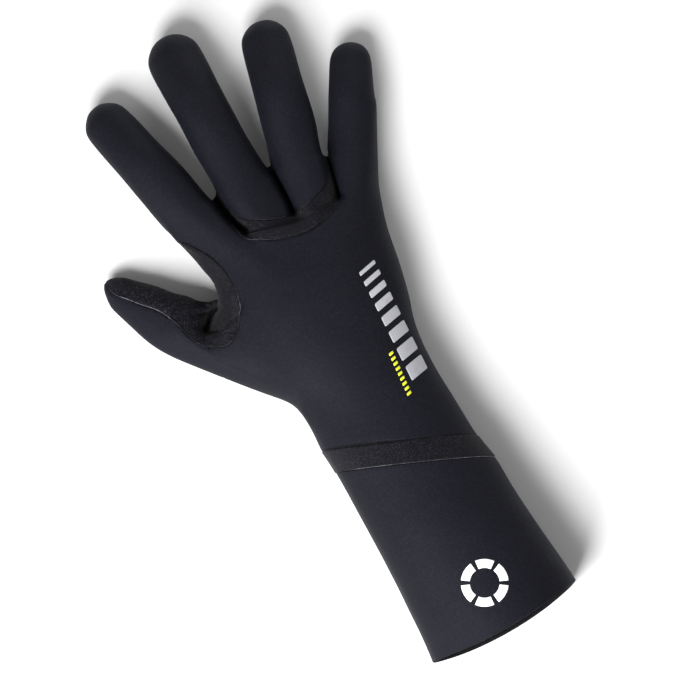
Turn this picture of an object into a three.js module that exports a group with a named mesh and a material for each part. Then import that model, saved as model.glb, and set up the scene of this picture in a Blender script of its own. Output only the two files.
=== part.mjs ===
// A thermal water-sports glove with a long cuff, for the right hand, lying palm down.
//
// Its skin is one smooth surface, the Catmull-Clark limit of a cage of four-sided faces. Tables of
// sections place the cage's points on that surface: rows along the cuff and the hand, rings along each
// finger. Every face belongs to a panel. Each panel is cut out of the skin, given the thickness of the
// foam sheet, and kept a hairline away from its neighbours, to which the real panels are glued.
//
// Millimetres, +Y from the cuff's mouth to the fingertips, +X to the little finger's side, +Z up.

import * as THREE from "three";

// Driving dimensions
const WALL = 3; // foamed rubber sheet with knit on both faces
const SEAM_GAP = 0.3; // between two panels that are glued edge to edge
const FIT_ROUNDS = 12; // how closely the smooth surface is drawn to the section points
const EVENING_ROUNDS = 3; // how far the wall's direction is evened out along the skin
const WIDEST_SHARE = 0.42; // height of the widest point of a hand section, as a share of its top
const PRESSED_BELOW = 1.5; // how far a resting section would bulge below the surface it lies on
const TOP_ROUNDNESS = 0.92; // exponents of the sections' outlines: 1 is an ellipse, less is squarer
const UNDER_ROUNDNESS = 0.55;
const SIDE_ROUNDNESS = 0.85;

// The points round a hand section, clockwise as seen from the cuff, and their angles in degrees.
const COLUMNS = {
  T0: 156, T1: 138, T2: 122, T3: 106, T4: 90, T5: 74, T6: 58, T7: 40, T8: 21, SR: 0,
  B8: -21, B7: -40, B6: -58, B5: -74, B4: -90, B3: -106, B2: -122, B1: -138, B0: -156,
  S2: -168, SL: 180, S1: 168,
};
const COLUMN_NAMES = Object.keys(COLUMNS);

// Sections of the cuff and hand. y is the section's place at x = 0, slant how much y grows with x, bow
// how far its middle runs ahead of its sides, reach how far it follows the knuckles' own curve.
const HAND_ROWS = [
  { row: "mouth", y: -0.7, slant: 0, bow: -5, left: -42.4, right: 42.2, top: 56, reach: 0 },
  { row: "hem", y: 12, slant: 0, bow: -3, left: -40.9, right: 41.5, top: 55.4, reach: 0 },
  { row: "cuff_mid", y: 42, slant: -0.12, bow: 0, left: -38.5, right: 39.4, top: 53, reach: 0 },
  { row: "cuff_top", y: 70, slant: -0.3, bow: 0, left: -37.5, right: 38.2, top: 49.5, reach: 0 },
  { row: "band_low", y: 91.5, slant: -0.45, bow: 0, left: -36.9, right: 37.7, top: 47, reach: 0 },
  { row: "band_high", y: 104.5, slant: -0.45, bow: 0, left: -37.6, right: 35.6, top: 46, reach: 0 },
  { row: "wrist", y: 121, slant: -0.24, bow: 0, left: -37.1, right: 34.7, top: 44.5, reach: 0 },
  { row: "heel", y: 142, slant: -0.12, bow: 0, left: -37.7, right: 34.7, top: 43.5, reach: 0 },
  { row: "thumb_a", y: 162, slant: -0.12, bow: 0, left: -44, right: 37.5, top: 43.5, reach: 0 },
  { row: "thumb_b", y: 181, slant: -0.3, bow: 0, left: -45, right: 41.2, top: 43, reach: 0.15 },
  { row: "thumb_c", y: 196, slant: -0.18, bow: 0, left: -43, right: 45.7, top: 42.4, reach: 0.4 },
  { row: "thumb_d", y: 208, slant: -0.08, bow: 0, left: -42, right: 48.6, top: 41.4, reach: 0.62 },
  { row: "thumb_e", y: 219, slant: 0, bow: 0, left: -44, right: 53.2, top: 39.8, reach: 0.85 },
];

// The last hand section, where the fingers begin: the back's seam dips in a U under the middle and ring
// fingers, and the palm's crease runs nearly straight.
const KNUCKLES = [
  { column: "0", x: -45.2, backY: 248.4, backZ: 25.5, palmY: 248, palmZ: 2.5 },
  { column: "1", x: -33, backY: 247.5, backZ: 32.5, palmY: 250, palmZ: 0.5 },
  { column: "2", x: -20.6, backY: 243, backZ: 31.5, palmY: 252, palmZ: 3 },
  { column: "3", x: -9.5, backY: 229.5, backZ: 37.2, palmY: 247, palmZ: 0.5 },
  { column: "4", x: 8.5, backY: 222.4, backZ: 37.8, palmY: 243, palmZ: 1 },
  { column: "5", x: 22.5, backY: 223.2, backZ: 36.6, palmY: 240, palmZ: 0.5 },
  { column: "6", x: 37.2, backY: 230, backZ: 30, palmY: 238, palmZ: 3 },
  { column: "7", x: 47, backY: 230, backZ: 30.5, palmY: 236, palmZ: 0.5 },
  { column: "8", x: 54.7, backY: 231, backZ: 25.5, palmY: 234, palmZ: 2.5 },
];
const KNUCKLE_MEAN_Y = 232;
const KNUCKLE_SIDES = {
  S1: [-48.9, 256, 20], SL: [-50.2, 260, 15], S2: [-48.9, 256, 8.5], SR: [58.6, 231, 14.5],
};

// The webs between the fingers, at half height. The outer two are the edge of the textured band.
const WEBS = { index: [-23, 265, 15.5], middle: [11.6, 259.8, 18], ring: [42.4, 255, 15] };

// The side of the hand round the thumb's root. seam is where the textured strip meets the back, valley
// the fold beside the thumb, side the outline. The palm side mirrors them about the outline's height.
const THUMB_ROOT = [
  { row: "thumb_a", seam: [-35.5, 161, 33], valley: [-42.5, 161.5, 26], side: [-46.6, 160.2, 15] },
  { row: "thumb_b", seam: [-45.5, 194.3, 31], valley: [-58.6, 194.8, 27.5], side: null },
  { row: "thumb_c", seam: [-37.6, 204.3, 32], valley: [-54, 206, 20], side: [-41.8, 217.5, 13] },
  { row: "thumb_d", seam: [-34.7, 217, 32], valley: [-40.4, 221, 24.5], side: [-43.6, 229.3, 14] },
  { row: "thumb_e", seam: [-36, 232, 30.5], valley: [-42.2, 236.5, 23.5], side: [-45.6, 241.5, 15] },
];

// The textured band round the foot of the middle and ring fingers: the ring along its middle, which is
// the floor of the clefts beside the neighbouring fingers, and the ring where the two fingers start.
const CLEFTS = {
  T2: [-17.6, 242.5, 23], T3: [-8, 234.5, 37], T4: [9.3, 229, 36.6], T5: [21.5, 229, 36.8],
  T6: [36, 233.5, 23.5], RM: [40.3, 252.3, 14.3], B6: [34.5, 244, 2.5], B5: [21, 246, 1],
  B4: [8.3, 248.5, 1.5], B3: [-6, 252.5, 1], B2: [-18.5, 257, 2.5], LM: [-20.5, 262.4, 14.3],
};
const GUSSET_TOP = {
  T2: [-13.8, 246.5, 31.5], T3: [-4.5, 239.3, 35.5], T4: [10.3, 235.5, 30], T5: [21, 235.2, 35],
  T6: [32.3, 239, 31.5], RM: [39.2, 256.5, 16.5], B6: [31, 250, 3.5], B5: [20.5, 252, 1.5],
  B4: [8.5, 254.5, 3], B3: [-4.5, 258, 1.5], B2: [-15.5, 262.5, 3.5], LM: [-17.9, 266, 16.5],
};

// The fingers. x, y and lean in degrees place the axis, on which start and length are where the first ring
// and the tip lie. The half width and the axis' height run from the root to the start of the rounded tip,
// whose depth is tip, and arch lifts the middle of the axis.
const FINGERS = [
  {
    name: "index", x: -37.3, y: 268, lean: -12.1, start: 9, length: 67.8, tip: 13,
    half: { root: 14.3, end: 12.5 }, z: { root: 18.5, end: 11.5 }, arch: 3,
  },
  {
    name: "middle", x: -4.4, y: 268, lean: 1.6, start: 12, length: 80.2, tip: 14,
    half: { root: 13.7, end: 14.1 }, z: { root: 21.5, end: 12 }, arch: 4,
  },
  {
    name: "ring", x: 29, y: 266, lean: 14.3, start: 6, length: 66.8, tip: 12.5,
    half: { root: 13.8, end: 12.8 }, z: { root: 20.5, end: 11.5 }, arch: 4,
  },
  {
    name: "little", x: 60.3, y: 260, lean: 27, start: 4, length: 43, tip: 11,
    half: { root: 12.8, end: 10.9 }, z: { root: 16, end: 10.5 }, arch: 2,
  },
];
const FINGER_FLATNESS = 0.84; // a finger's height as a share of its width
const SHAFT_SHARES = [0, 0.34, 0.68, 1]; // rings from a finger's start to the start of its tip
const TIP_ANGLES = [34, 62]; // rings round its tip, in degrees
const FIRST_RING_RAKE = 7; // how far the first ring's back lies behind its sides, over the knuckle

// The thumb's rings, along its own axis. shift moves a ring sideways, rake moves its inner side forwards,
// seam is the place across the ring where the textured strip meets the back, and reach how far that
// point runs ahead of its ring. dip lowers the flank beside the crotch.
const THUMB = { x: -62, y: 204, lean: -33.3 };
const THUMB_RINGS = [
  { s: -5.7, half: 14.9, shift: 1.4, rake: 14.2, z: 14.5, tall: 12.6, seam: -4, reach: 8, dip: 3.5 },
  { s: 9, half: 15.7, shift: 0.2, rake: 6, z: 13.4, tall: 11.8, seam: -1, reach: 4, dip: 1 },
  { s: 21, half: 14.8, shift: -0.6, rake: 2, z: 12.4, tall: 10.6, seam: 1.6, reach: 0, dip: 0 },
  { s: 33, half: 12.8, shift: 0.6, rake: 0, z: 10.8, tall: 9.2, seam: 1.2, reach: 0, dip: 0 },
  { s: 44, half: 10.1, shift: 1.1, rake: 0, z: 9, tall: 7.4, seam: 0.2, reach: 0, dip: 0 },
  { s: 51.5, half: 7.4, shift: 1.9, rake: 0, z: 7.8, tall: 5.6, seam: -0.2, reach: 0, dip: 0 },
];
const THUMB_TIP = { s: 57.9, shift: 3, z: 7 };

// The panels. proud is how far a panel's face stands off the common skin.
const PANELS = {
  cuff: { color: 0x24252a, roughness: 0.6, proud: 0 },
  wrist_band: { color: 0x2e2d33, roughness: 0.9, proud: 0.35 },
  hand_back: { color: 0x25262b, roughness: 0.6, proud: 0 },
  hand_palm: { color: 0x232428, roughness: 0.6, proud: 0 },
  finger_gusset: { color: 0x2e2d33, roughness: 0.9, proud: -0.3 },
  middle_ring_back: { color: 0x25262b, roughness: 0.6, proud: 0 },
  middle_ring_palm: { color: 0x232428, roughness: 0.6, proud: 0 },
  thumb_palm: { color: 0x232428, roughness: 0.6, proud: 0 },
  thumb_gusset: { color: 0x302f35, roughness: 0.9, proud: -0.2 },
};

const radians = THREE.MathUtils.degToRad;
const lerp = THREE.MathUtils.lerp;
const power = (value, exponent) => Math.sign(value) * Math.abs(value) ** exponent;

// The cage: named points and four-sided faces, each face with its panel.
const cage = { points: [], faces: [] };
const pointIds = new Map();

function addPoint(name, [x, y, z]) {
  pointIds.set(name, cage.points.length);
  cage.points.push(new THREE.Vector3(x, y, z));
  return name;
}

function addFace(panel, ...names) {
  cage.faces.push({ panel, corners: names.map((name) => pointIds.get(name)) });
}

function sectionPoint(row, angle) {
  const half = (row.right - row.left) / 2;
  const centre = (row.right + row.left) / 2;
  const widest = row.top * WIDEST_SHARE;
  const cosine = Math.cos(radians(angle));
  const sine = Math.sin(radians(angle));
  const under = sine < 0;
  const x = centre + half * power(cosine, under ? SIDE_ROUNDNESS : 1);
  const tall = under ? widest + PRESSED_BELOW : row.top - widest;
  const z = widest + tall * power(sine, under ? UNDER_ROUNDNESS : TOP_ROUNDNESS);
  const y = row.y + row.slant * x + row.bow * (1 - ((x - centre) / half) ** 2);
  return [x, y, z];
}

// Columns T0 to T8 and B0 to B8 stand over and under the same nine places across the knuckles.
function knuckleY(column) {
  if (column in KNUCKLE_SIDES) return KNUCKLE_SIDES[column][1];
  const place = KNUCKLES[Number(column[1])];
  return column[0] === "T" ? place.backY : place.palmY;
}

const THUMB_HOLE_MIDDLE = "thumb_b.SL"; // the one point that the thumb's opening takes out of the grid

function addHandRows() {
  for (const row of HAND_ROWS) {
    for (const column of COLUMN_NAMES) {
      if (`${row.row}.${column}` === THUMB_HOLE_MIDDLE) continue;
      const [x, y, z] = sectionPoint(row, COLUMNS[column]);
      addPoint(`${row.row}.${column}`, [x, y + row.reach * (knuckleY(column) - KNUCKLE_MEAN_Y), z]);
    }
  }
  for (const { row, seam, valley, side } of THUMB_ROOT) {
    const middle = side ? side[2] : THUMB_RINGS[0].z;
    const under = ([x, y, z]) => [x, y, Math.max(middle - 0.85 * (z - middle), -PRESSED_BELOW)];
    setPoint(`${row}.T0`, seam);
    setPoint(`${row}.S1`, valley);
    if (side) setPoint(`${row}.SL`, side);
    setPoint(`${row}.S2`, under(valley));
    setPoint(`${row}.B0`, under(seam));
  }
  for (const { column, x, backY, backZ, palmY, palmZ } of KNUCKLES) {
    addPoint(`knuckle.T${column}`, [x, backY, backZ]);
    addPoint(`knuckle.B${column}`, [x, palmY, palmZ]);
  }
  for (const [column, place] of Object.entries(KNUCKLE_SIDES)) addPoint(`knuckle.${column}`, place);
}

function setPoint(name, place) {
  cage.points[pointIds.get(name)].set(...place);
}

const THUMB_HOLE_ROWS = ["thumb_a", "thumb_b"];
const THUMB_HOLE_COLUMNS = ["S2", "SL"];
// The faces of the textured strip, by the row and column that they start at.
const STRIP_COLUMNS = {
  thumb_b: ["B0", "S1"],
  thumb_c: ["B0", "S2", "SL", "S1"],
  thumb_d: ["B0", "S2", "SL", "S1"],
  thumb_e: ["B0", "S2", "SL", "S1"],
};

function handPanel(row, column) {
  if (["mouth", "hem", "cuff_mid", "cuff_top"].includes(row)) return "cuff";
  if (row === "band_low") return "wrist_band";
  if (STRIP_COLUMNS[row]?.includes(column)) return "thumb_gusset";
  return column[0] === "T" || column === "SL" || column === "S1" ? "hand_back" : "hand_palm";
}

function addHandFaces() {
  const rows = [...HAND_ROWS.map((r) => r.row), "knuckle"];
  for (let i = 0; i + 1 < rows.length; i++) {
    COLUMN_NAMES.forEach((column, c) => {
      const next = COLUMN_NAMES[(c + 1) % COLUMN_NAMES.length];
      if (THUMB_HOLE_ROWS.includes(rows[i]) && THUMB_HOLE_COLUMNS.includes(column)) return;
      const [low, high] = [rows[i], rows[i + 1]];
      const corners = [`${low}.${column}`, `${low}.${next}`, `${high}.${next}`, `${high}.${column}`];
      addFace(handPanel(low, column), ...corners);
    });
  }
}

// A tube of faces from one ring of point names to the next; panelOf tells a face's panel by its place.
function addBand(from, to, panelOf) {
  from.forEach((name, i) => {
    const j = (i + 1) % from.length;
    addFace(panelOf(i), name, from[j], to[j], to[i]);
  });
}

// Closes a ring of eight points with one middle point, or of ten with two.
function addCap(ring, middles, panelOf) {
  if (ring.length === 8) {
    for (const i of [7, 1, 3, 5]) {
      addFace(panelOf(i), ring[i], ring[(i + 1) % 8], ring[(i + 2) % 8], middles[0]);
    }
    return;
  }
  const [left, right] = middles;
  addFace(panelOf(8), ring[8], ring[9], ring[0], left);
  addFace(panelOf(0), ring[0], ring[1], right, left);
  addFace(panelOf(1), ring[1], ring[2], ring[3], right);
  addFace(panelOf(3), ring[3], ring[4], ring[5], right);
  addFace(panelOf(5), ring[5], ring[6], left, right);
  addFace(panelOf(6), ring[6], ring[7], ring[8], left);
}

// The frame of a finger's axis: along it, and across it to the right in the plan view.
function axisFrame(finger) {
  const lean = radians(finger.lean);
  const along = new THREE.Vector3(Math.sin(lean), Math.cos(lean), 0);
  const across = new THREE.Vector3(Math.cos(lean), -Math.sin(lean), 0);
  return (s, side, z) => [
    finger.x + s * along.x + side * across.x,
    finger.y + s * along.y + side * across.y,
    z,
  ];
}

const RING_ANGLES = [135, 90, 45, 0, -45, -90, -135, 180];
const SEAM_PLACE = 1; // the point of a thumb's ring that lies on the seam
const INDEX_ANGLES = [128, 90, 48, 0, -48, -90, -128, -154, 180, 154];

function addFinger(finger, base, backPanel, palmPanel) {
  const place = axisFrame(finger);
  const angles = base.length === 10 ? INDEX_ANGLES : RING_ANGLES;
  const panelOf = (i) => (i < 3 || angles[i] > 90 ? backPanel : palmPanel);
  const tipStart = finger.length - finger.tip;
  const rings = SHAFT_SHARES.map((share) => ({ s: lerp(finger.start, tipStart, share), shrink: 1 }));
  for (const angle of TIP_ANGLES) {
    const s = tipStart + finger.tip * Math.sin(radians(angle));
    rings.push({ s, shrink: Math.cos(radians(angle)) });
  }
  const heightAt = (s) => {
    const t = s / tipStart;
    return lerp(finger.z.root, finger.z.end, t) + finger.arch * Math.max(0, 4 * t * (1 - t));
  };
  let previous = base;
  rings.forEach(({ s, shrink }, k) => {
    const half = lerp(finger.half.root, finger.half.end, Math.min(1, s / tipStart)) * shrink;
    const ring = angles.map((angle, i) => {
      const sine = Math.sin(radians(angle));
      const rake = k === 0 ? FIRST_RING_RAKE * Math.abs(sine) : 0;
      const height = heightAt(s) + half * FINGER_FLATNESS * sine;
      const position = place(s - rake, half * Math.cos(radians(angle)), height);
      return addPoint(`${finger.name}.${k}.${i}`, position);
    });
    addBand(previous, ring, panelOf);
    previous = ring;
  });
  const middleSides = angles.length === 10 ? [-0.16, 0.16] : [0];
  const middles = middleSides.map((side, i) => {
    const position = place(finger.length, side * finger.half.end, heightAt(finger.length));
    return addPoint(`${finger.name}.tip.${i}`, position);
  });
  addCap(previous, middles, panelOf);
}

function addThumb() {
  const base = [
    "thumb_a.S1", "thumb_b.S1", "thumb_c.S1", "thumb_c.SL",
    "thumb_c.S2", "thumb_b.S2", "thumb_a.S2", "thumb_a.SL",
  ];
  const place = axisFrame(THUMB);
  // The textured strip covers the thumb's inner side. Its palm side is a piece of its own from ring 0 on.
  const panelOf = (i, k) => {
    if (i >= 1 && i <= 4) return "thumb_gusset";
    if (i === 0 || i === 7) return "hand_back";
    return k === 0 ? "hand_palm" : "thumb_palm";
  };
  let previous = base;
  THUMB_RINGS.forEach((section, k) => {
    const ring = RING_ANGLES.map((angle, i) => {
      const onSeam = i === SEAM_PLACE;
      const cosine = onSeam ? (section.seam - section.shift) / section.half : Math.cos(radians(angle));
      const sine = onSeam ? Math.sqrt(1 - cosine * cosine) : Math.sin(radians(angle));
      const s = section.s + section.rake * cosine + (onSeam ? section.reach : 0);
      const z = section.z + section.tall * sine - (i === SEAM_PLACE + 1 ? section.dip : 0);
      return addPoint(`thumb.${k}.${i}`, place(s, section.shift + section.half * cosine, z));
    });
    addBand(previous, ring, (i) => panelOf(i, k));
    previous = ring;
  });
  addPoint("thumb.tip", place(THUMB_TIP.s, THUMB_TIP.shift, THUMB_TIP.z));
  addCap(previous, ["thumb.tip"], (i) => panelOf(i, THUMB_RINGS.length));
}

function addFingers() {
  const knuckle = (...columns) => columns.map((column) => `knuckle.${column}`);
  const gusset = (...columns) => columns.map((column) => `gusset.${column}`);
  const back = ["T2", "T3", "T4", "T5", "T6"];
  const palm = ["B6", "B5", "B4", "B3", "B2"];
  const band = [...back, "RM", ...palm, "LM"];
  for (const [name, place] of Object.entries(WEBS)) addPoint(`web.${name}`, place);
  for (const [column, place] of Object.entries(CLEFTS)) addPoint(`cleft.${column}`, place);
  for (const [column, place] of Object.entries(GUSSET_TOP)) addPoint(`gusset.${column}`, place);
  const foot = [...knuckle(...back), "web.ring", ...knuckle(...palm), "web.index"];
  const floor = band.map((column) => `cleft.${column}`);
  addBand(foot, floor, () => "finger_gusset");
  addBand(floor, gusset(...band), () => "finger_gusset");
  const bases = {
    index: [...knuckle("T0", "T1", "T2"), "web.index", ...knuckle("B2", "B1", "B0", "S2", "SL", "S1")],
    middle: [...gusset("T2", "T3", "T4"), "web.middle", ...gusset("B4", "B3", "B2", "LM")],
    ring: [...gusset("T4", "T5", "T6", "RM", "B6", "B5", "B4"), "web.middle"],
    little: [...knuckle("T6", "T7", "T8", "SR", "B8", "B7", "B6"), "web.ring"],
  };
  for (const finger of FINGERS) {
    const prefix = finger.name === "middle" || finger.name === "ring" ? "middle_ring" : "hand";
    addFinger(finger, bases[finger.name], `${prefix}_back`, `${prefix}_palm`);
  }
  addThumb();
}

const edgeKey = (a, b) => (a < b ? `${a}_${b}` : `${b}_${a}`);

// The edges of a mesh of four-sided faces, each with its ends and the faces beside it.
function edgesOf(mesh) {
  const edges = new Map();
  mesh.faces.forEach((face, f) => {
    face.corners.forEach((a, i) => {
      const b = face.corners[(i + 1) % 4];
      const key = edgeKey(a, b);
      if (!edges.has(key)) edges.set(key, { a, b, faces: [] });
      edges.get(key).faces.push(f);
    });
  });
  return edges;
}

// The smooth limit position of each point: the standard Catmull-Clark masks, inside and on the rim.
function limitPositions(mesh, edges) {
  const sums = mesh.points.map(() => (
    { count: 0, near: new THREE.Vector3(), far: new THREE.Vector3(), rim: [] }
  ));
  for (const { a, b, faces } of edges.values()) {
    sums[a].near.add(mesh.points[b]);
    sums[b].near.add(mesh.points[a]);
    sums[a].count++;
    sums[b].count++;
    if (faces.length === 1) {
      sums[a].rim.push(b);
      sums[b].rim.push(a);
    }
  }
  for (const { corners } of mesh.faces) {
    corners.forEach((corner, i) => sums[corner].far.add(mesh.points[corners[(i + 2) % 4]]));
  }
  return mesh.points.map((point, i) => {
    const { count: n, near, far, rim } = sums[i];
    if (rim.length) {
      const beside = mesh.points[rim[0]].clone().add(mesh.points[rim[1]]);
      return point.clone().multiplyScalar(4).add(beside).divideScalar(6);
    }
    const weighted = point.clone().multiplyScalar(n * n).addScaledVector(near, 4).add(far);
    return weighted.divideScalar(n * (n + 5));
  });
}

// Moves the cage until its smooth limit passes close to the points that it was given.
function drawOntoPoints(mesh) {
  const targets = mesh.points.map((point) => point.clone());
  const edges = edgesOf(mesh);
  for (let round = 0; round < FIT_ROUNDS; round++) {
    const limits = limitPositions(mesh, edges);
    mesh.points.forEach((point, i) => point.add(targets[i]).sub(limits[i]));
  }
}

// One Catmull-Clark step: every face becomes four, which keep its panel.
function subdivide(mesh) {
  const edges = edgesOf(mesh);
  const centres = mesh.faces.map(({ corners }) =>
    corners.reduce((sum, c) => sum.add(mesh.points[c]), new THREE.Vector3()).divideScalar(4),
  );
  const around = mesh.points.map(() => ({
    count: 0,
    faces: 0,
    middles: new THREE.Vector3(),
    centres: new THREE.Vector3(),
    rim: new THREE.Vector3(),
    onRim: false,
  }));
  mesh.faces.forEach(({ corners }, f) => {
    for (const corner of corners) {
      around[corner].centres.add(centres[f]);
      around[corner].faces++;
    }
  });
  const edgePoints = [];
  let id = mesh.points.length + mesh.faces.length;
  for (const edge of edges.values()) {
    const middle = mesh.points[edge.a].clone().add(mesh.points[edge.b]).divideScalar(2);
    const rim = edge.faces.length === 1;
    for (const end of [edge.a, edge.b]) {
      around[end].middles.add(middle);
      around[end].count++;
      if (rim) {
        around[end].onRim = true;
        around[end].rim.add(mesh.points[end === edge.a ? edge.b : edge.a]);
      }
    }
    if (!rim) {
      const [one, other] = edge.faces.map((f) => centres[f]);
      middle.multiplyScalar(2).add(one).add(other).divideScalar(4);
    }
    edgePoints.push(middle);
    edge.id = id++;
  }
  const moved = mesh.points.map((point, i) => {
    const { count: n, faces, middles, centres: sum, rim, onRim } = around[i];
    if (onRim) return point.clone().multiplyScalar(6).add(rim).divideScalar(8);
    const smoothed = point.clone().multiplyScalar(n - 3).addScaledVector(middles, 2 / n);
    return smoothed.addScaledVector(sum, 1 / faces).divideScalar(n);
  });
  const edgeId = (a, b) => edges.get(edgeKey(a, b)).id;
  const faces = [];
  mesh.faces.forEach(({ corners, panel }, f) => {
    corners.forEach((corner, i) => {
      const after = edgeId(corner, corners[(i + 1) % 4]);
      const before = edgeId(corners[(i + 3) % 4], corner);
      faces.push({ panel, corners: [corner, after, mesh.points.length + f, before] });
    });
  });
  return { points: [...moved, ...centres, ...edgePoints], faces };
}

// The way through the wall at each point of the skin: inward, evened out along the skin so that the
// inner face doesn't cross itself under a sharp ridge.
function wallDirections(skin) {
  let inward = skin.points.map(() => new THREE.Vector3());
  for (const { corners } of skin.faces) {
    const [a, b, c, d] = corners.map((corner) => skin.points[corner]);
    const across = new THREE.Vector3().crossVectors(d.clone().sub(b), c.clone().sub(a));
    for (const corner of corners) inward[corner].add(across);
  }
  inward.forEach((direction) => direction.normalize());
  for (let round = 0; round < EVENING_ROUNDS; round++) {
    const sums = inward.map((direction) => direction.clone());
    for (const { a, b } of skin.edges.values()) {
      sums[a].add(inward[b]);
      sums[b].add(inward[a]);
    }
    inward = sums.map((sum) => sum.normalize());
  }
  return inward;
}

// How far each border point of a panel is drawn back from the seam, within the skin. The mouth's rim,
// which has no neighbour, stays where it is.
function seamInsets(skin, inward, faces, borders) {
  const beside = new Map();
  for (const { a, b } of borders) {
    beside.set(a, [...(beside.get(a) ?? []), b]);
    beside.set(b, [...(beside.get(b) ?? []), a]);
  }
  const isSeam = (a, b) => skin.edges.get(edgeKey(a, b)).faces.length === 2;
  const insets = new Map();
  for (const [corner, ends] of beside) {
    if (!ends.some((end) => isSeam(corner, end))) continue;
    const inset = new THREE.Vector3();
    for (const face of faces) {
      if (!face.corners.includes(corner)) continue;
      for (const other of face.corners) inset.add(skin.points[other]).sub(skin.points[corner]);
    }
    const tangent = skin.points[ends[0]].clone().sub(skin.points[ends[1]]).normalize();
    inset.addScaledVector(tangent, -inset.dot(tangent));
    inset.addScaledVector(inward[corner], -inset.dot(inward[corner]));
    insets.set(corner, inset.setLength(SEAM_GAP / 2));
  }
  return insets;
}

// One panel as a closed solid: its outer and inner face, and the cut edges between them.
function panelMesh(name, skin, inward) {
  const { color, roughness, proud } = PANELS[name];
  const faces = skin.faces.filter((face) => face.panel === name);
  const edges = edgesOf({ faces });
  const borders = [...edges.values()].filter((edge) => edge.faces.length === 1);
  const insets = seamInsets(skin, inward, faces, borders);
  const ids = new Map();
  const positions = [];
  const outerId = (corner) => {
    if (!ids.has(corner)) {
      const base = skin.points[corner].clone().add(insets.get(corner) ?? new THREE.Vector3());
      const outer = base.clone().addScaledVector(inward[corner], -proud);
      const inner = base.clone().addScaledVector(inward[corner], WALL);
      outer.z = Math.max(outer.z, 0);
      inner.z = Math.max(inner.z, WALL);
      ids.set(corner, positions.length / 3);
      positions.push(...outer.toArray(), ...inner.toArray());
    }
    return ids.get(corner);
  };
  const indices = [];
  for (const { corners } of faces) {
    const [a, b, c, d] = corners.map(outerId);
    indices.push(a, b, c, a, c, d);
    indices.push(a + 1, c + 1, b + 1, a + 1, d + 1, c + 1);
    corners.forEach((corner, i) => {
      const next = corners[(i + 1) % 4];
      if (edges.get(edgeKey(corner, next)).faces.length === 2) return;
      const p = outerId(corner);
      const q = outerId(next);
      // The cut's two triangles share the same diagonal in both panels that meet here.
      if (corner < next) indices.push(q, p, p + 1, q, p + 1, q + 1);
      else indices.push(q, p, q + 1, p, p + 1, q + 1);
    });
  }
  const geometry = new THREE.BufferGeometry();
  geometry.setAttribute("position", new THREE.Float32BufferAttribute(positions, 3));
  geometry.setIndex(indices);
  geometry.computeVertexNormals();
  const material = new THREE.MeshStandardMaterial({ color, roughness, metalness: 0 });
  const mesh = new THREE.Mesh(geometry, material);
  mesh.name = name;
  return mesh;
}

addHandRows();
addHandFaces();
addFingers();
drawOntoPoints(cage);

const fine = subdivide(cage);
const skin = { points: limitPositions(fine, edgesOf(fine)), faces: fine.faces };
for (const point of skin.points) point.z = Math.max(point.z, 0);
skin.edges = edgesOf(skin);
const inward = wallDirections(skin);

const glove = new THREE.Group();
for (const name of Object.keys(PANELS)) glove.add(panelMesh(name, skin, inward));

// The origin is at the middle of the glove's footprint.
const middle = new THREE.Box3().setFromObject(glove).getCenter(new THREE.Vector3());
glove.position.set(-middle.x, -middle.y, 0);

export default glove;
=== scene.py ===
import math

import bpy
import numpy as np
from mathutils import Matrix, Vector, noise
from mathutils.bvhtree import BVHTree
from mathutils.kdtree import KDTree


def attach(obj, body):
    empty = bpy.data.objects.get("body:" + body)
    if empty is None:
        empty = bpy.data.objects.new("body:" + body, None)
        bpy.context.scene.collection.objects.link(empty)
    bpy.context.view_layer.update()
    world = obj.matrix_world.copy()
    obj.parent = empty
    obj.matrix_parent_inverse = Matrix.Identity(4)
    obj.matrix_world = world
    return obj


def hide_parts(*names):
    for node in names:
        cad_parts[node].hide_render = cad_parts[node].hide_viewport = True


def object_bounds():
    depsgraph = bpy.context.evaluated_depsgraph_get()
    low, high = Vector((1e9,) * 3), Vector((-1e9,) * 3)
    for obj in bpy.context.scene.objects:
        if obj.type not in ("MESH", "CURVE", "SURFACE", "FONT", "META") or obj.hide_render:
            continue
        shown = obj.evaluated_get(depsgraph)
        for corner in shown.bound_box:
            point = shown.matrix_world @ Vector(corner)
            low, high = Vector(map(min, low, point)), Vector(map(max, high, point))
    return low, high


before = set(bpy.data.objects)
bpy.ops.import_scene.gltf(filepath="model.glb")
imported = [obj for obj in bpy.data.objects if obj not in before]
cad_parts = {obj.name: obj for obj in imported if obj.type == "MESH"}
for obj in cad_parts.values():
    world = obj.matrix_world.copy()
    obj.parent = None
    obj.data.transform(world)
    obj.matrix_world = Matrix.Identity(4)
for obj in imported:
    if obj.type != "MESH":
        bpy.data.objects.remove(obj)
cad_low, cad_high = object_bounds()
MM = 0.001

# Driving dimensions
WALL = 3
FIT_ROUNDS = 12
WIDEST_SHARE = 0.42
PRESSED_BELOW = 1.5
TOP_ROUNDNESS = 0.92
UNDER_ROUNDNESS = 0.55
SIDE_ROUNDNESS = 0.85
SKIN_LEVEL = 4
LINING_LEVEL = 3
FLOOR_ROLL = 1.4
ABOVE = 90


def table(keys, *rows):
    return [dict(zip(keys.split(), row)) for row in rows]


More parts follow.
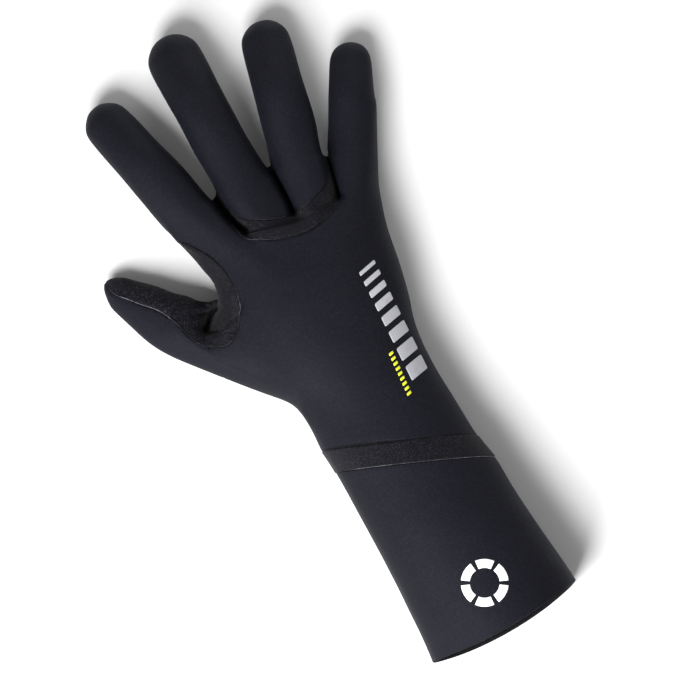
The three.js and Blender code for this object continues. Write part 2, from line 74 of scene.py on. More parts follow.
# Angles round a section of the hand: T over the back, B under the palm, SR the right side, the rest the left
TOP_ANGLES = dict(enumerate((156, 138, 122, 106, 90, 74, 58, 40, 21)))
COLUMNS = {f"T{i}": angle for i, angle in TOP_ANGLES.items()} | {"SR": 0}
COLUMNS |= {f"B{i}": -TOP_ANGLES[i] for i in reversed(TOP_ANGLES)} | {"S2": -168, "SL": 180, "S1": 168}
HAND_ROWS = table(
    "row y slant bow left right top reach",
    ("mouth", -0.7, 0, -5, -42.4, 42.2, 56, 0),
    ("hem", 12, 0, -3, -40.9, 41.5, 55.4, 0),
    ("cuff_mid", 42, -0.12, 0, -38.5, 39.4, 53, 0),
    ("cuff_top", 70, -0.3, 0, -37.5, 38.2, 49.5, 0),
    ("band_low", 91.5, -0.45, 0, -36.9, 37.7, 47, 0),
    ("band_high", 104.5, -0.45, 0, -37.6, 35.6, 46, 0),
    ("wrist", 121, -0.24, 0, -37.1, 34.7, 44.5, 0),
    ("heel", 142, -0.12, 0, -37.7, 34.7, 43.5, 0),
    ("thumb_a", 162, -0.12, 0, -44, 37.5, 43.5, 0),
    ("thumb_b", 181, -0.3, 0, -45, 41.2, 43, 0.15),
    ("thumb_c", 196, -0.18, 0, -43, 45.7, 42.4, 0.4),
    ("thumb_d", 208, -0.08, 0, -42, 48.6, 41.4, 0.62),
    ("thumb_e", 219, 0, 0, -44, 53.2, 39.8, 0.85),
)
# x, the back seam's y and z, the palm crease's y and z
KNUCKLES = [
    (-45.2, 248.4, 25.5, 248, 2.5),
    (-33, 247.5, 32.5, 250, 0.5),
    (-20.6, 243, 31.5, 252, 3),
    (-9.5, 229.5, 37.2, 247, 0.5),
    (8.5, 222.4, 37.8, 243, 1),
    (22.5, 223.2, 36.6, 240, 0.5),
    (37.2, 230, 30, 238, 3),
    (47, 230, 30.5, 236, 0.5),
    (54.7, 231, 25.5, 234, 2.5),
]
KNUCKLE_MEAN_Y = 232
KNUCKLE_SIDES = {
    "S1": (-48.9, 256, 20), "SL": (-50.2, 260, 15), "S2": (-48.9, 256, 8.5), "SR": (58.6, 231, 14.5),
}
WEBS = {"index": (-23, 265, 15.5), "middle": (11.6, 259.8, 18), "ring": (42.4, 255, 15)}
# row, seam, valley, side
THUMB_ROOT = [
    ("thumb_a", (-35.5, 161, 33), (-42.5, 161.5, 26), (-46.6, 160.2, 15)),
    ("thumb_b", (-45.5, 194.3, 31), (-58.6, 194.8, 27.5), None),
    ("thumb_c", (-37.6, 204.3, 32), (-54, 206, 20), (-41.8, 217.5, 13)),
    ("thumb_d", (-34.7, 217, 32), (-40.4, 221, 24.5), (-43.6, 229.3, 14)),
    ("thumb_e", (-36, 232, 30.5), (-42.2, 236.5, 23.5), (-45.6, 241.5, 15)),
]
THUMB_UNDERSIDE = 0.85
BAND_POINTS = "T2 T3 T4 T5 T6 RM B6 B5 B4 B3 B2 LM"
CLEFTS = [
    (-17.6, 242.5, 23), (-8, 234.5, 37), (9.3, 229, 36.6), (21.5, 229, 36.8), (36, 233.5, 23.5),
    (40.3, 252.3, 14.3), (34.5, 244, 2.5), (21, 246, 1), (8.3, 248.5, 1.5), (-6, 252.5, 1),
    (-18.5, 257, 2.5), (-20.5, 262.4, 14.3),
]
GUSSET_TOP = [
    (-13.8, 246.5, 31.5), (-4.5, 239.3, 35.5), (10.3, 235.5, 30), (21, 235.2, 35), (32.3, 239, 31.5),
    (39.2, 256.5, 16.5), (31, 250, 3.5), (20.5, 252, 1.5), (8.5, 254.5, 3), (-4.5, 258, 1.5),
    (-15.5, 262.5, 3.5), (-17.9, 266, 16.5),
]
FINGERS = table(
    "name x y lean start length tip root end root_z end_z arch",
    ("index", -37.3, 268, -12.1, 9, 67.8, 13, 14.3, 12.5, 18.5, 11.5, 3),
    ("middle", -4.4, 268, 1.6, 12, 80.2, 14, 13.7, 14.1, 21.5, 12, 4),
    ("ring", 29, 266, 14.3, 6, 66.8, 12.5, 13.8, 12.8, 20.5, 11.5, 4),
    ("little", 60.3, 260, 27, 4, 43, 11, 12.8, 10.9, 16, 10.5, 2),
)
FINGER_FLATNESS = 0.84
SHAFT_SHARES = (0, 0.34, 0.68, 1)
TIP_ANGLES = (34, 62)
FIRST_RING_RAKE = 7
INDEX_TIP_MIDDLES = (-0.16, 0.16)
THUMB = {"x": -62, "y": 204, "lean": -33.3}
THUMB_RINGS = table(
    "s half shift rake z tall seam reach dip",
    (-5.7, 14.9, 1.4, 14.2, 14.5, 12.6, -4, 8, 3.5),
    (9, 15.7, 0.2, 6, 13.4, 11.8, -1, 4, 1),
    (21, 14.8, -0.6, 2, 12.4, 10.6, 1.6, 0, 0),
    (33, 12.8, 0.6, 0, 10.8, 9.2, 1.2, 0, 0),
    (44, 10.1, 1.1, 0, 9, 7.4, 0.2, 0, 0),
    (51.5, 7.4, 1.9, 0, 7.8, 5.6, -0.2, 0, 0),
)
THUMB_TIP = {"s": 57.9, "shift": 3, "z": 7}
TEXTURED = ("wrist_band", "finger_gusset", "thumb_gusset")
PROUD = {"wrist_band": 0.45, "finger_gusset": -0.3, "thumb_gusset": -0.2}

# The cage
points = {}
faces = []


def add_face(panel, *names):
    faces.append((panel, names))


def power(value, exponent):
    return math.copysign(abs(value) ** exponent, value)


def direction(angle):
    turn = math.radians(angle)
    return math.cos(turn), math.sin(turn)


def section_point(row, angle):
    half = (row["right"] - row["left"]) / 2
    centre = (row["right"] + row["left"]) / 2
    widest = row["top"] * WIDEST_SHARE
    cosine, sine = direction(angle)
    under = sine < 0
    x = centre + half * power(cosine, SIDE_ROUNDNESS if under else 1)
    tall = widest + PRESSED_BELOW if under else row["top"] - widest
    z = widest + tall * power(sine, UNDER_ROUNDNESS if under else TOP_ROUNDNESS)
    y = row["y"] + row["slant"] * x + row["bow"] * (1 - ((x - centre) / half) ** 2)
    return [x, y, z]


def knuckle_y(column):
    if column in KNUCKLE_SIDES:
        return KNUCKLE_SIDES[column][1]
    return KNUCKLES[int(column[1])][1 if column[0] == "T" else 3]


THUMB_HOLE_MIDDLE = "thumb_b.SL"


def add_hand_rows():
    for row in HAND_ROWS:
        for column, angle in COLUMNS.items():
            x, y, z = section_point(row, angle)
            y += row["reach"] * (knuckle_y(column) - KNUCKLE_MEAN_Y)
            points[f"{row['row']}.{column}"] = [x, y, z]
    for row, seam, valley, side in THUMB_ROOT:
        middle = side[2] if side else THUMB_RINGS[0]["z"]

        def mirrored(place):
            x, y, z = place
            return [x, y, max(middle - THUMB_UNDERSIDE * (z - middle), -PRESSED_BELOW)]

        points[f"{row}.T0"] = seam
        points[f"{row}.S1"] = valley
        if side:
            points[f"{row}.SL"] = side
        points[f"{row}.S2"] = mirrored(valley)
        points[f"{row}.B0"] = mirrored(seam)
    del points[THUMB_HOLE_MIDDLE]
    for column, (x, back_y, back_z, palm_y, palm_z) in enumerate(KNUCKLES):
        points[f"knuckle.T{column}"] = [x, back_y, back_z]
        points[f"knuckle.B{column}"] = [x, palm_y, palm_z]
    points.update({f"knuckle.{column}": place for column, place in KNUCKLE_SIDES.items()})


STRIP_COLUMNS = {row: ("B0", "S2", "SL", "S1") for row in ("thumb_c", "thumb_d", "thumb_e")}
STRIP_COLUMNS["thumb_b"] = ("B0", "S1")


def hand_panel(row, column):
    if row in ("mouth", "hem", "cuff_mid", "cuff_top"):
        return "cuff"
    if row == "band_low":
        return "wrist_band"
    if column in STRIP_COLUMNS.get(row, ()):
        return "thumb_gusset"
    return "hand_back" if column[0] == "T" or column in ("SL", "S1") else "hand_palm"


def add_hand_faces():
    rows = [row["row"] for row in HAND_ROWS] + ["knuckle"]
    names = list(COLUMNS)
    for low, high in zip(rows, rows[1:]):
        for column, after in zip(names, names[1:] + names[:1]):
            if low in ("thumb_a", "thumb_b") and column in ("S2", "SL"):
                continue
            corners = (f"{low}.{column}", f"{low}.{after}", f"{high}.{after}", f"{high}.{column}")
            add_face(hand_panel(low, column), *corners)


def add_band(start, end, panel_of):
    for i, name in enumerate(start):
        j = (i + 1) % len(start)
        add_face(panel_of(i), name, start[j], end[j], end[i])


def add_cap(ring, middles, panel_of):
    if len(ring) == 8:
        for i in (7, 1, 3, 5):
            add_face(panel_of(i), ring[i], ring[(i + 1) % 8], ring[(i + 2) % 8], middles[0])
        return
    left, right = middles
    for i, near, far in (
        (8, ring[0], left), (0, right, left), (1, ring[3], right),
        (3, ring[5], right), (5, left, right), (6, ring[8], left),
    ):
        add_face(panel_of(i), ring[i], ring[i + 1], near, far)


def axis_frame(finger):
    cosine, sine = direction(finger["lean"])

    def place(s, side, z):
        x = finger["x"] + s * sine + side * cosine
        y = finger["y"] + s * cosine - side * sine
        return [x, y, z]

    return place


RING_ANGLES = (135, 90, 45, 0, -45, -90, -135, 180)
INDEX_ANGLES = (128, 90, 48, 0, -48, -90, -128, -154, 180, 154)
SEAM_PLACE = 1


def lerp(a, b, t):
    return a + (b - a) * t


def add_finger(finger, base, back_panel, palm_panel):
    place = axis_frame(finger)
    angles = INDEX_ANGLES if len(base) == 10 else RING_ANGLES
    tip_start = finger["length"] - finger["tip"]

    def panel_of(i):
        return back_panel if i < 3 or angles[i] > 90 else palm_panel

    def height_at(s):
        t = s / tip_start
        return lerp(finger["root_z"], finger["end_z"], t) + finger["arch"] * max(0, 4 * t * (1 - t))

    rings = [(lerp(finger["start"], tip_start, share), 1) for share in SHAFT_SHARES]
    for cosine, sine in map(direction, TIP_ANGLES):
        rings.append((tip_start + finger["tip"] * sine, cosine))
    previous = base
    for k, (s, shrink) in enumerate(rings):
        half = lerp(finger["root"], finger["end"], min(1, s / tip_start)) * shrink
        ring = []
        for i, angle in enumerate(angles):
            cosine, sine = direction(angle)
            rake = FIRST_RING_RAKE * abs(sine) if k == 0 else 0
            height = height_at(s) + half * FINGER_FLATNESS * sine
            name = f"{finger['name']}.{k}.{i}"
            points[name] = place(s - rake, half * cosine, height)
            ring.append(name)
        add_band(previous, ring, panel_of)
        previous = ring
    middles = []
    for i, side in enumerate(INDEX_TIP_MIDDLES if len(angles) == 10 else (0,)):
        name = f"{finger['name']}.tip.{i}"
        points[name] = place(finger["length"], side * finger["end"], height_at(finger["length"]))
        middles.append(name)
    add_cap(previous, middles, panel_of)


def add_thumb():
    base = [f"thumb_{name}" for name in ("a.S1", "b.S1", "c.S1", "c.SL", "c.S2", "b.S2", "a.S2", "a.SL")]
    place = axis_frame(THUMB)

    def panel_at(i, k):
        if 1 <= i <= 4:
            return "thumb_gusset"
        if i in (0, 7):
            return "hand_back"
        return "hand_palm" if k == 0 else "thumb_palm"

    previous = base
    for k, section in enumerate(THUMB_RINGS):
        ring = []
        for i, angle in enumerate(RING_ANGLES):
            on_seam = i == SEAM_PLACE
            cosine, sine = direction(angle)
            if on_seam:
                cosine = (section["seam"] - section["shift"]) / section["half"]
                sine = math.sqrt(1 - cosine * cosine)
            s = section["s"] + section["rake"] * cosine + (section["reach"] if on_seam else 0)
            z = section["z"] + section["tall"] * sine - (section["dip"] if i == SEAM_PLACE + 1 else 0)
            name = f"thumb.{k}.{i}"
            points[name] = place(s, section["shift"] + section["half"] * cosine, z)
            ring.append(name)
        add_band(previous, ring, lambda i: panel_at(i, k))
        previous = ring
    points["thumb.tip"] = place(THUMB_TIP["s"], THUMB_TIP["shift"], THUMB_TIP["z"])
    add_cap(previous, ["thumb.tip"], lambda i: panel_at(i, len(THUMB_RINGS)))


def add_fingers():
    points.update({f"web.{name}": place for name, place in WEBS.items()})
    for column, cleft, gusset in zip(BAND_POINTS.split(), CLEFTS, GUSSET_TOP):
        points[f"cleft.{column}"] = cleft
        points[f"gusset.{column}"] = gusset

    def named(kind, text):
        return [f"{kind}.{column}" for column in text.split()]

    foot = named("knuckle", "T2 T3 T4 T5 T6") + ["web.ring"]
    foot += named("knuckle", "B6 B5 B4 B3 B2") + ["web.index"]
    floor = named("cleft", BAND_POINTS)
    top = named("gusset", BAND_POINTS)
    add_band(foot, floor, lambda i: "finger_gusset")
    add_band(floor, top, lambda i: "finger_gusset")
    bases = {
        "index": named("knuckle", "T0 T1 T2") + ["web.index"] + named("knuckle", "B2 B1 B0 S2 SL S1"),
        "middle": named("gusset", "T2 T3 T4") + ["web.middle"] + named("gusset", "B4 B3 B2 LM"),
        "ring": named("gusset", "T4 T5 T6 RM B6 B5 B4") + ["web.middle"],
        "little": named("knuckle", "T6 T7 T8 SR B8 B7 B6") + ["web.ring"],
    }
    for finger in FINGERS:
        prefix = "middle_ring" if finger["name"] in ("middle", "ring") else "hand"
        add_finger(finger, bases[finger["name"]], f"{prefix}_back", f"{prefix}_palm")
    add_thumb()


add_hand_rows()
add_hand_faces()
add_fingers()

PANELS = sorted({panel for panel, names in faces})
point_ids = {name: i for i, name in enumerate(points)}
cage = np.array(list(points.values()), dtype=float)
quads = np.array([[point_ids[name] for name in names] for panel, names in faces])
face_panels = np.array([PANELS.index(panel) for panel, names in faces])


def limit_matrix(quads, count):
    """Catmull-Clark limit masks as one matrix, inside and on the rim."""
    matrix = np.zeros((count, count))
    faces_beside = np.zeros((count, count))
    for i in range(4):
        np.add.at(matrix, (quads[:, i], quads[:, (i + 2) % 4]), 1)
        np.add.at(faces_beside, (quads[:, i], quads[:, (i + 1) % 4]), 1)
    faces_beside += faces_beside.T
    rim = faces_beside == 1
    near = faces_beside > 0
    n = near.sum(axis=1)
    matrix = (matrix + np.diag(n * n) + 4 * near) / (n * (n + 5))[:, None]
    on_rim = rim.any(axis=1)
    matrix[on_rim] = (4 * np.eye(count) + rim)[on_rim] / 6
    return matrix


def directed_edges(quads):
    return np.concatenate([quads[:, [i, (i + 1) % 4]] for i in range(4)])


def new_object(name, data):
    item = bpy.data.objects.new(name, data)
    bpy.context.scene.collection.objects.link(item)
    return item


def read(items, key, width, kind=float):
    out = np.empty(len(items) * width, dtype=kind)
    items.foreach_get(key, out)
    return out


def subdivided(level, unwrap=None):
    """The smooth surface over the cage: its points and faces and, if unwrapped, its cloth coordinates."""
    mesh = bpy.data.meshes.new("work")
    mesh.from_pydata(cage.tolist(), [], quads.tolist())
    work = new_object("work", mesh)
    if unwrap:
        unwrap(work)
    smooth = work.modifiers.new("smooth", "SUBSURF")
    smooth.levels = level
    smooth.render_levels = level
    smooth.quality = 6
    smooth.use_limit_surface = True
    smooth.uv_smooth = "PRESERVE_BOUNDARIES"
    evaluated = work.evaluated_get(bpy.context.evaluated_depsgraph_get())
    fine = bpy.data.meshes.new_from_object(evaluated)
    positions = read(fine.vertices, "co", 3).reshape(-1, 3)
    corners = read(fine.loops, "vertex_index", 1, int).reshape(-1, 4)
    flat = read(fine.uv_layers[0].data, "uv", 2).reshape(-1, 4, 2) if unwrap else None
    bpy.data.objects.remove(work)
    bpy.data.meshes.remove(fine)
    return positions, corners, flat


def unwrap_panels(work):
    """Lays each panel out flat, as it was cut from the sheet, so that the weave follows the cloth."""
    mesh = work.data
    sides = {}
    for ends, panel in zip(directed_edges(quads).tolist(), np.tile(face_panels, 4)):
        sides.setdefault(frozenset(ends), set()).add(panel)
    ring_cuts = {i for name, i in point_ids.items() if name.split(".")[-1] in ("SR", "RM")}
    ring_cuts.add(point_ids["web.ring"])
    for edge in mesh.edges:
        ends = frozenset(edge.vertices)
        edge.use_seam = len(sides[ends]) > 1 or ends <= ring_cuts
    mesh.uv_layers.new(name="cloth")
    bpy.context.view_layer.objects.active = work
    work.select_set(True)
    bpy.ops.object.mode_set(mode="EDIT")
    bpy.ops.mesh.select_all(action="SELECT")
    bpy.ops.uv.unwrap(method="ANGLE_BASED", margin=0.01)
    bpy.ops.object.mode_set(mode="OBJECT")


# The cage is moved until the smooth surface runs through the named points
limits = limit_matrix(quads, len(cage))
wanted = cage.copy()
for fit_round in range(FIT_ROUNDS):
    cage += wanted - limits @ cage
skin, skin_quads, cloth = subdivided(SKIN_LEVEL, unwrap_panels)
skin_panels = np.repeat(face_panels, 4**SKIN_LEVEL)
plain_skin = skin.copy()


def scatter(values, ids, count):
    """Sums values, one row per entry of ids, into count rows."""
    return np.stack([np.bincount(ids, values[:, i], count) for i in range(values.shape[1])], axis=1)


def unit(vectors):
    return vectors / np.maximum(np.linalg.norm(vectors, axis=1, keepdims=True), 1e-12)


def outward(positions, quads):
    a, b, c, d = (positions[quads[:, i]] for i in range(4))
    across = np.cross(c - a, d - b)
    return unit(sum(scatter(across, quads[:, i], len(positions)) for i in range(4)))


def border_edges(quads):
    """The directed edges with a face on one side only."""
    edges = directed_edges(quads).tolist()
    known = {(a, b) for a, b in edges}
    return np.array([(a, b) for a, b in edges if (b, a) not in known])


origin = (skin.min(axis=0) + skin.max(axis=0)) / 2
shift = np.array([(cad_low[i] + cad_high[i]) / 2 for i in range(2)] + [0.0]) / MM
shift[:2] -= origin[:2]

# Where the seams of the textured strips run over the back, seen from above
SEAM_PATHS = {
    frozenset({"thumb_gusset", "hand_back"}): [
        (-89.9, 245.8), (-85.6, 240.4), (-80.6, 233.8), (-75.2, 227.7), (-71.6, 221.2), (-68.9, 213),
        (-67.2, 205.5), (-63.4, 198.9), (-58, 194.6), (-51.2, 192.4), (-43.4, 196.8), (-37.2, 205),
        (-35, 212.7), (-34.5, 221.3), (-36.1, 232.6), (-38.6, 239.9), (-42.2, 246.4), (-46, 250.6),
    ],
    frozenset({"finger_gusset", "hand_back"}): [
        (-20.5, 245.7), (-20, 241.1), (-19, 237.4), (-16, 234), (-11.7, 230.7), (-7, 228.1),
        (-1.2, 225.3), (5.1, 223.2), (11.6, 221.8), (18.2, 221.9), (24.1, 223.1), (29.7, 225.2),
        (34.4, 228.4), (37, 231.5), (38.6, 237), (39.9, 243.5), (41.3, 250),
    ],
    frozenset({"finger_gusset", "middle_ring_back"}): [
        (-18.3, 252.6), (-16.3, 248.6), (-13.2, 245.3), (-9.2, 241.5), (-4.7, 238.5), (0.2, 236.3),
        (5.4, 234.7), (11.2, 233.9), (19.2, 234.2), (25.6, 235.6), (31, 237.8), (34.6, 241), (36.8, 245.5),
        (38.2, 251),
    ],
}
SLIDE_REACH = 13
SLIDE_NEIGHBOURS = 4
SLIDE_SOFTENING = 0.3
LEAST_SLIDE = 0.01
EVEN_SEAM = 5
PATH_SAMPLES = 240
CURVE_STEPS = 16
EDGE_PANELS = dict(zip(map(tuple, directed_edges(skin_quads).tolist()), np.tile(skin_panels, 4).tolist()))


def seam_chains():
    """Open runs of skin points along each seam, with the two panels that meet there."""
    links = {}
    for (a, b), panel in EDGE_PANELS.items():
        pair = (panel, EDGE_PANELS.get((b, a), panel))
        if pair[0] < pair[1]:
            links.setdefault(a, []).append((b, pair))
            links.setdefault(b, []).append((a, pair))
    nodes = {p for p, ends in links.items() if len(ends) != 2 or ends[0][1] != ends[1][1]}
    used = set()
    runs = []
    for start in sorted(nodes) + sorted(set(links) - nodes):
        for step, pair in links[start]:
            if (start, step) in used:
                continue
            run = [start, step]
            used |= {(start, step), (step, start)}
            while run[-1] not in nodes and run[-1] != start:
                ahead = [b for b, p in links[run[-1]] if (run[-1], b) not in used]
                if not ahead:
                    break
                used |= {(run[-1], ahead[0]), (ahead[0], run[-1])}
                run.append(ahead[0])
            runs.append((run, frozenset(PANELS[i] for i in pair)))
    return runs


def along(path):
    steps = np.linalg.norm(np.diff(path, axis=0), axis=1)
    return np.concatenate([[0], np.cumsum(steps)])


def at_places(wanted, places, rows):
    """The rows between those at the given places."""
    return np.stack([np.interp(wanted, places, column) for column in rows.T], axis=1)


def smooth_path(path, samples=PATH_SAMPLES):
    """A Catmull-Rom curve through the points, evenly sampled."""
    path = np.array(path, dtype=float)
    padded = np.vstack([2 * path[0] - path[1], path, 2 * path[-1] - path[-2]])
    out = []
    for i in range(len(path) - 1):
        p0, p1, p2, p3 = padded[i : i + 4]
        for t in np.linspace(0, 1, CURVE_STEPS, endpoint=False):
            bend = 2 * p0 - 5 * p1 + 4 * p2 - p3
            twist = 3 * p1 - p0 - 3 * p2 + p3
            out.append(0.5 * (2 * p1 + (p2 - p0) * t + bend * t**2 + twist * t**3))
    out = np.array(out + [path[-1]])
    place = along(out)
    return at_places(np.linspace(0, place[-1], samples), place, out)


def evened(path, reach, closed):
    """The path with its corners rounded; the ends of an open one stay."""
    keep = slice(0, len(path))
    if closed:
        body = path[:-1]
        path = np.vstack([body, body, body, body[:1]])
        keep = slice(len(body), 2 * len(body) + 1)
    place = along(path)
    gaps = np.abs(place[:, None] - place[None, keep])
    weights = np.exp(-((gaps / reach) ** 2)) * np.gradient(place)[:, None]
    mixed = (weights.T @ path) / weights.sum(axis=0)[:, None]
    if closed:
        return mixed
    ends = np.minimum(place, place[-1] - place)
    share = np.clip(ends / (2 * reach), 0, 1)[:, None]
    return path + (mixed - path) * share


def tree_of(places):
    tree = KDTree(len(places))
    for i, place in enumerate(places.tolist()):
        tree.insert(place, i)
    tree.balance()
    return tree


def skin_tree():
    return BVHTree.FromPolygons(skin.tolist(), skin_quads.tolist())


SEAM_RUNS = seam_chains()


def slide_seams():
    """Moves the mesh within the skin until the seams lie on smooth lines."""
    tree = skin_tree()
    move = {}
    for run, pair in SEAM_RUNS:
        closed = run[0] == run[-1]
        path = skin[run]
        if pair in SEAM_PATHS:
            line = np.array(SEAM_PATHS[pair])
            if np.linalg.norm(path[0, :2] - line[0]) > np.linalg.norm(path[-1, :2] - line[0]):
                line = line[::-1]
            line = smooth_path(np.vstack([path[0, :2], line, path[-1, :2]]))
            share = along(path[:, :2])
            goal_share = along(line)
            goal = path.copy()
            goal[:, :2] = at_places(share / share[-1] * goal_share[-1], goal_share, line)
            goal = evened(goal, EVEN_SEAM / 2, closed)
        else:
            goal = evened(path, EVEN_SEAM, closed)
        for point, change in zip(run, goal - path):
            move.setdefault(point, []).append(change)
    ids = np.array(sorted(move))
    changes = np.array([np.mean(move[i], axis=0) for i in ids])
    near = tree_of(skin[ids])
    moved = skin.copy()
    for i, point in enumerate(skin.tolist()):
        hits = near.find_n(point, SLIDE_NEIGHBOURS)
        distance = hits[0][2]
        if distance >= SLIDE_REACH:
            continue
        weights = [1 / (SLIDE_SOFTENING + hit[2]) ** 2 for hit in hits]
        change = sum(w * changes[hit[1]] for w, hit in zip(weights, hits)) / sum(weights)
        fade = (1 - (distance / SLIDE_REACH) ** 2) ** 2
        if np.abs(change).max() * fade > LEAST_SLIDE:
            moved[i] = tree.find_nearest((skin[i] + change * fade).tolist())[0]
    return moved


skin = slide_seams()

# Creases: the line that the bottom of each follows, its depth, its width, and how far its lips close over it
CREASES = [
    ([(-20.8, 264), (-19.6, 256), (-18.5, 248.5), (-17.2, 243.5), (-15.5, 239), (-13.5, 236.5)],
     18, 2.5, 1.4),
    ([(12.3, 260), (12.3, 249.8), (11.8, 240.7), (10.9, 234.1), (10.3, 231.5)], 17, 2, 1.3),
    ([(40.6, 254), (38.8, 245), (37.3, 237.8), (36, 232.6), (35, 226.5)], 18, 2.4, 1.6),
    ([(-46, 214), (-51.3, 212), (-55.7, 208.6), (-58.4, 206), (-60.5, 202.5)], 7, 2.6, 0.8),
    ([(-48, 213.5), (-55, 209), (-60, 204)], 3, 5.5, 0),
    ([(-44.5, 211.5), (-50.8, 212.9), (-56, 214.1), (-60.3, 214.8), (-63, 215.4)], 2.2, 1.3, 0.4),
    ([(-60, 206.5), (-57.8, 203.6), (-55.3, 202.1), (-51.8, 201), (-48.5, 201.6)], 2, 1.3, 0.4),
]

# The creases fade out down to this height and leave the cloth below it alone
CREASE_FOOT = 8
CREASE_SAMPLES = 80
CREASE_AREA = 40
FADE_IN = 0.12
FADE_OUT = 0.25
LIP_SHARE = 1.4
LIP_RISE = 4
PRESS_RISE = 1.25


def creased(positions, deeper=0, wider=0, closing=1):
    """The points with the creases pressed into them from above."""
    out = positions.copy()
    for line, depth, width, pinch in CREASES:
        path = smooth_path(line, CREASE_SAMPLES)
        place = along(path) / along(path)[-1]
        beside = np.abs(out[:, :2] - path.mean(axis=0)).max(axis=1) < CREASE_AREA
        ids = np.nonzero(beside & (out[:, 2] > CREASE_FOOT))[0]
        offsets = path[None] - out[ids, None, :2]
        gaps = np.linalg.norm(offsets, axis=2)
        nearest = gaps.argmin(axis=1)
        rows = np.arange(len(ids))
        gap = gaps[rows, nearest]
        share = place[nearest]
        fade = np.clip(share / FADE_IN, 0, 1) * np.clip((1 - share) / FADE_OUT, 0, 1)
        fade = fade * fade * (3 - 2 * fade)
        lips = LIP_SHARE * width
        close_up = closing * pinch / lips * fade * np.exp(0.5 * (1 - (gap / lips) ** 2))
        above = out[ids, 2] - CREASE_FOOT
        out[ids, :2] += offsets[rows, nearest] * (close_up * np.clip(above / LIP_RISE, 0, 1))[:, None]
        press = (depth + deeper) * fade * np.exp(-((gap / (width + wider)) ** 2))
        out[ids, 2] -= press * np.clip(above / (PRESS_RISE * (depth + deeper)), 0, 1)
    return out


def settled(positions, floor):
    """The points kept above the floor, with a soft roll where the cloth leaves it."""
    z = positions[:, 2] - floor
    roll = FLOOR_ROLL
    z = np.where(z > roll, z, np.where(z < -roll, 0, (z + roll) ** 2 / (4 * roll)))
    return np.column_stack([positions[:, :2], z + floor])


# Soft waves in the cloth: height and length in millimetres
WAVES = [(0.4, 44), (0.16, 17)]


def add_waves():
    for height, length in WAVES:
        start = Vector((length, 3, 7))
        lift = [noise.noise(Vector(point) / length + start) for point in skin.tolist()]
        skin[:] += normals * (height * np.array(lift))[:, None]


smooth_skin = skin.copy()
skin = creased(skin)
normals = outward(skin, skin_quads)
add_waves()
skin = settled(skin, 0)
normals = outward(skin, skin_quads)


FARTHEST_STEP = 0.8


def seam_places():
    """Millimetres to the nearest seam and the place along it, for every point of the skin."""
    ids = [point for run, pair in SEAM_RUNS for point in run]
    places = np.concatenate([along(skin[run]) for run, pair in SEAM_RUNS])
    ahead = np.concatenate([unit(np.gradient(skin[run], axis=0)) for run, pair in SEAM_RUNS])
    near = tree_of(skin[ids])
    nearest = [near.find(point)[1] for point in skin.tolist()]
    offset = skin - skin[ids][nearest]
    step = np.clip((offset * ahead[nearest]).sum(axis=1), -FARTHEST_STEP, FARTHEST_STEP)
    gap = np.linalg.norm(offset - ahead[nearest] * step[:, None], axis=1)
    return np.column_stack([gap, places[nearest] + step, np.zeros(len(skin))])


seam_values = seam_places()


def to_frame(positions):
    """From the hand's millimetres to the model's metres."""
    return (np.asarray(positions) + shift) * MM


# Materials
class Nodes:
    """A short way to build a node tree."""

    def __init__(self, name):
        self.material = bpy.data.materials.new(name)
        self.material.use_nodes = True
        self.tree = self.material.node_tree
        self.shader = self.tree.nodes["Principled BSDF"]
        self.place = self.add("ShaderNodeTexCoord").outputs["Object"]

    def add(self, kind, inputs=None, **settings):
        node = self.tree.nodes.new(kind)
        for key, value in settings.items():
            setattr(node, key, value)
        self.fill(node, inputs or {})
        return node

    def fill(self, node, inputs):
        for key, value in inputs.items():
            socket = node.inputs[key]
            if isinstance(value, bpy.types.NodeSocket):
                self.tree.links.new(value, socket)
            else:
                socket.default_value = value

    def shade(self, inputs):
        self.fill(self.shader, inputs)
        return self.material

    def attribute(self, name):
        return self.add("ShaderNodeAttribute", attribute_name=name).outputs["Vector"]

    def split(self, vector):
        parts = self.add("ShaderNodeSeparateXYZ", {"Vector": vector}).outputs
        return parts["X"], parts["Y"]

    def math(self, operation, a, b=0.0):
        return self.add("ShaderNodeMath", {0: a, 1: b}, operation=operation).outputs[0]

    def plus(self, a, b):
        return self.math("ADD", a, b)

    def less(self, a, b):
        return self.math("SUBTRACT", a, b)

    def times(self, a, b):
        return self.math("MULTIPLY", a, b)

    def wave(self, a, length):
        """A sine that comes back after each length."""
        return self.math("SINE", self.times(a, 2 * math.pi / length))

    def noise(self, vector, scale, detail=2.0, roughness=0.5):
        inputs = {"Vector": vector, "Scale": scale, "Detail": detail, "Roughness": roughness}
        return self.add("ShaderNodeTexNoise", inputs).outputs["Fac"]

    def cells(self, scale):
        inputs = {"Vector": self.place, "Scale": scale}
        return self.add("ShaderNodeTexVoronoi", inputs).outputs["Distance"]

    def ramp(self, value, *stops):
        node = self.add("ShaderNodeValToRGB", {"Fac": value})
        ramp = node.color_ramp
        while len(ramp.elements) < len(stops):
            ramp.elements.new(0.5)
        for element, (position, colour) in zip(ramp.elements, stops):
            element.position = position
            element.color = colour
        return node.outputs["Color"]

    def mix(self, fac, a, b):
        return self.add("ShaderNodeMix", {0: fac, 6: a, 7: b}, data_type="RGBA").outputs[2]

    def spread(self, value, low, high, out_low=0.0, out_high=1.0):
        inputs = dict(enumerate((value, low, high, out_low, out_high)))
        return self.add("ShaderNodeMapRange", inputs).outputs[0]

    def bump(self, height, distance, strength=1.0, normal=None):
        inputs = {"Height": height, "Distance": distance, "Strength": strength}
        if normal:
            inputs["Normal"] = normal
        return self.add("ShaderNodeBump", inputs).outputs["Normal"]


def srgb(*values):
    shares = [x / 255 for x in values]
    return (*(v / 12.92 if v <= 0.04045 else ((v + 0.055) / 1.055) ** 2.4 for v in shares), 1)


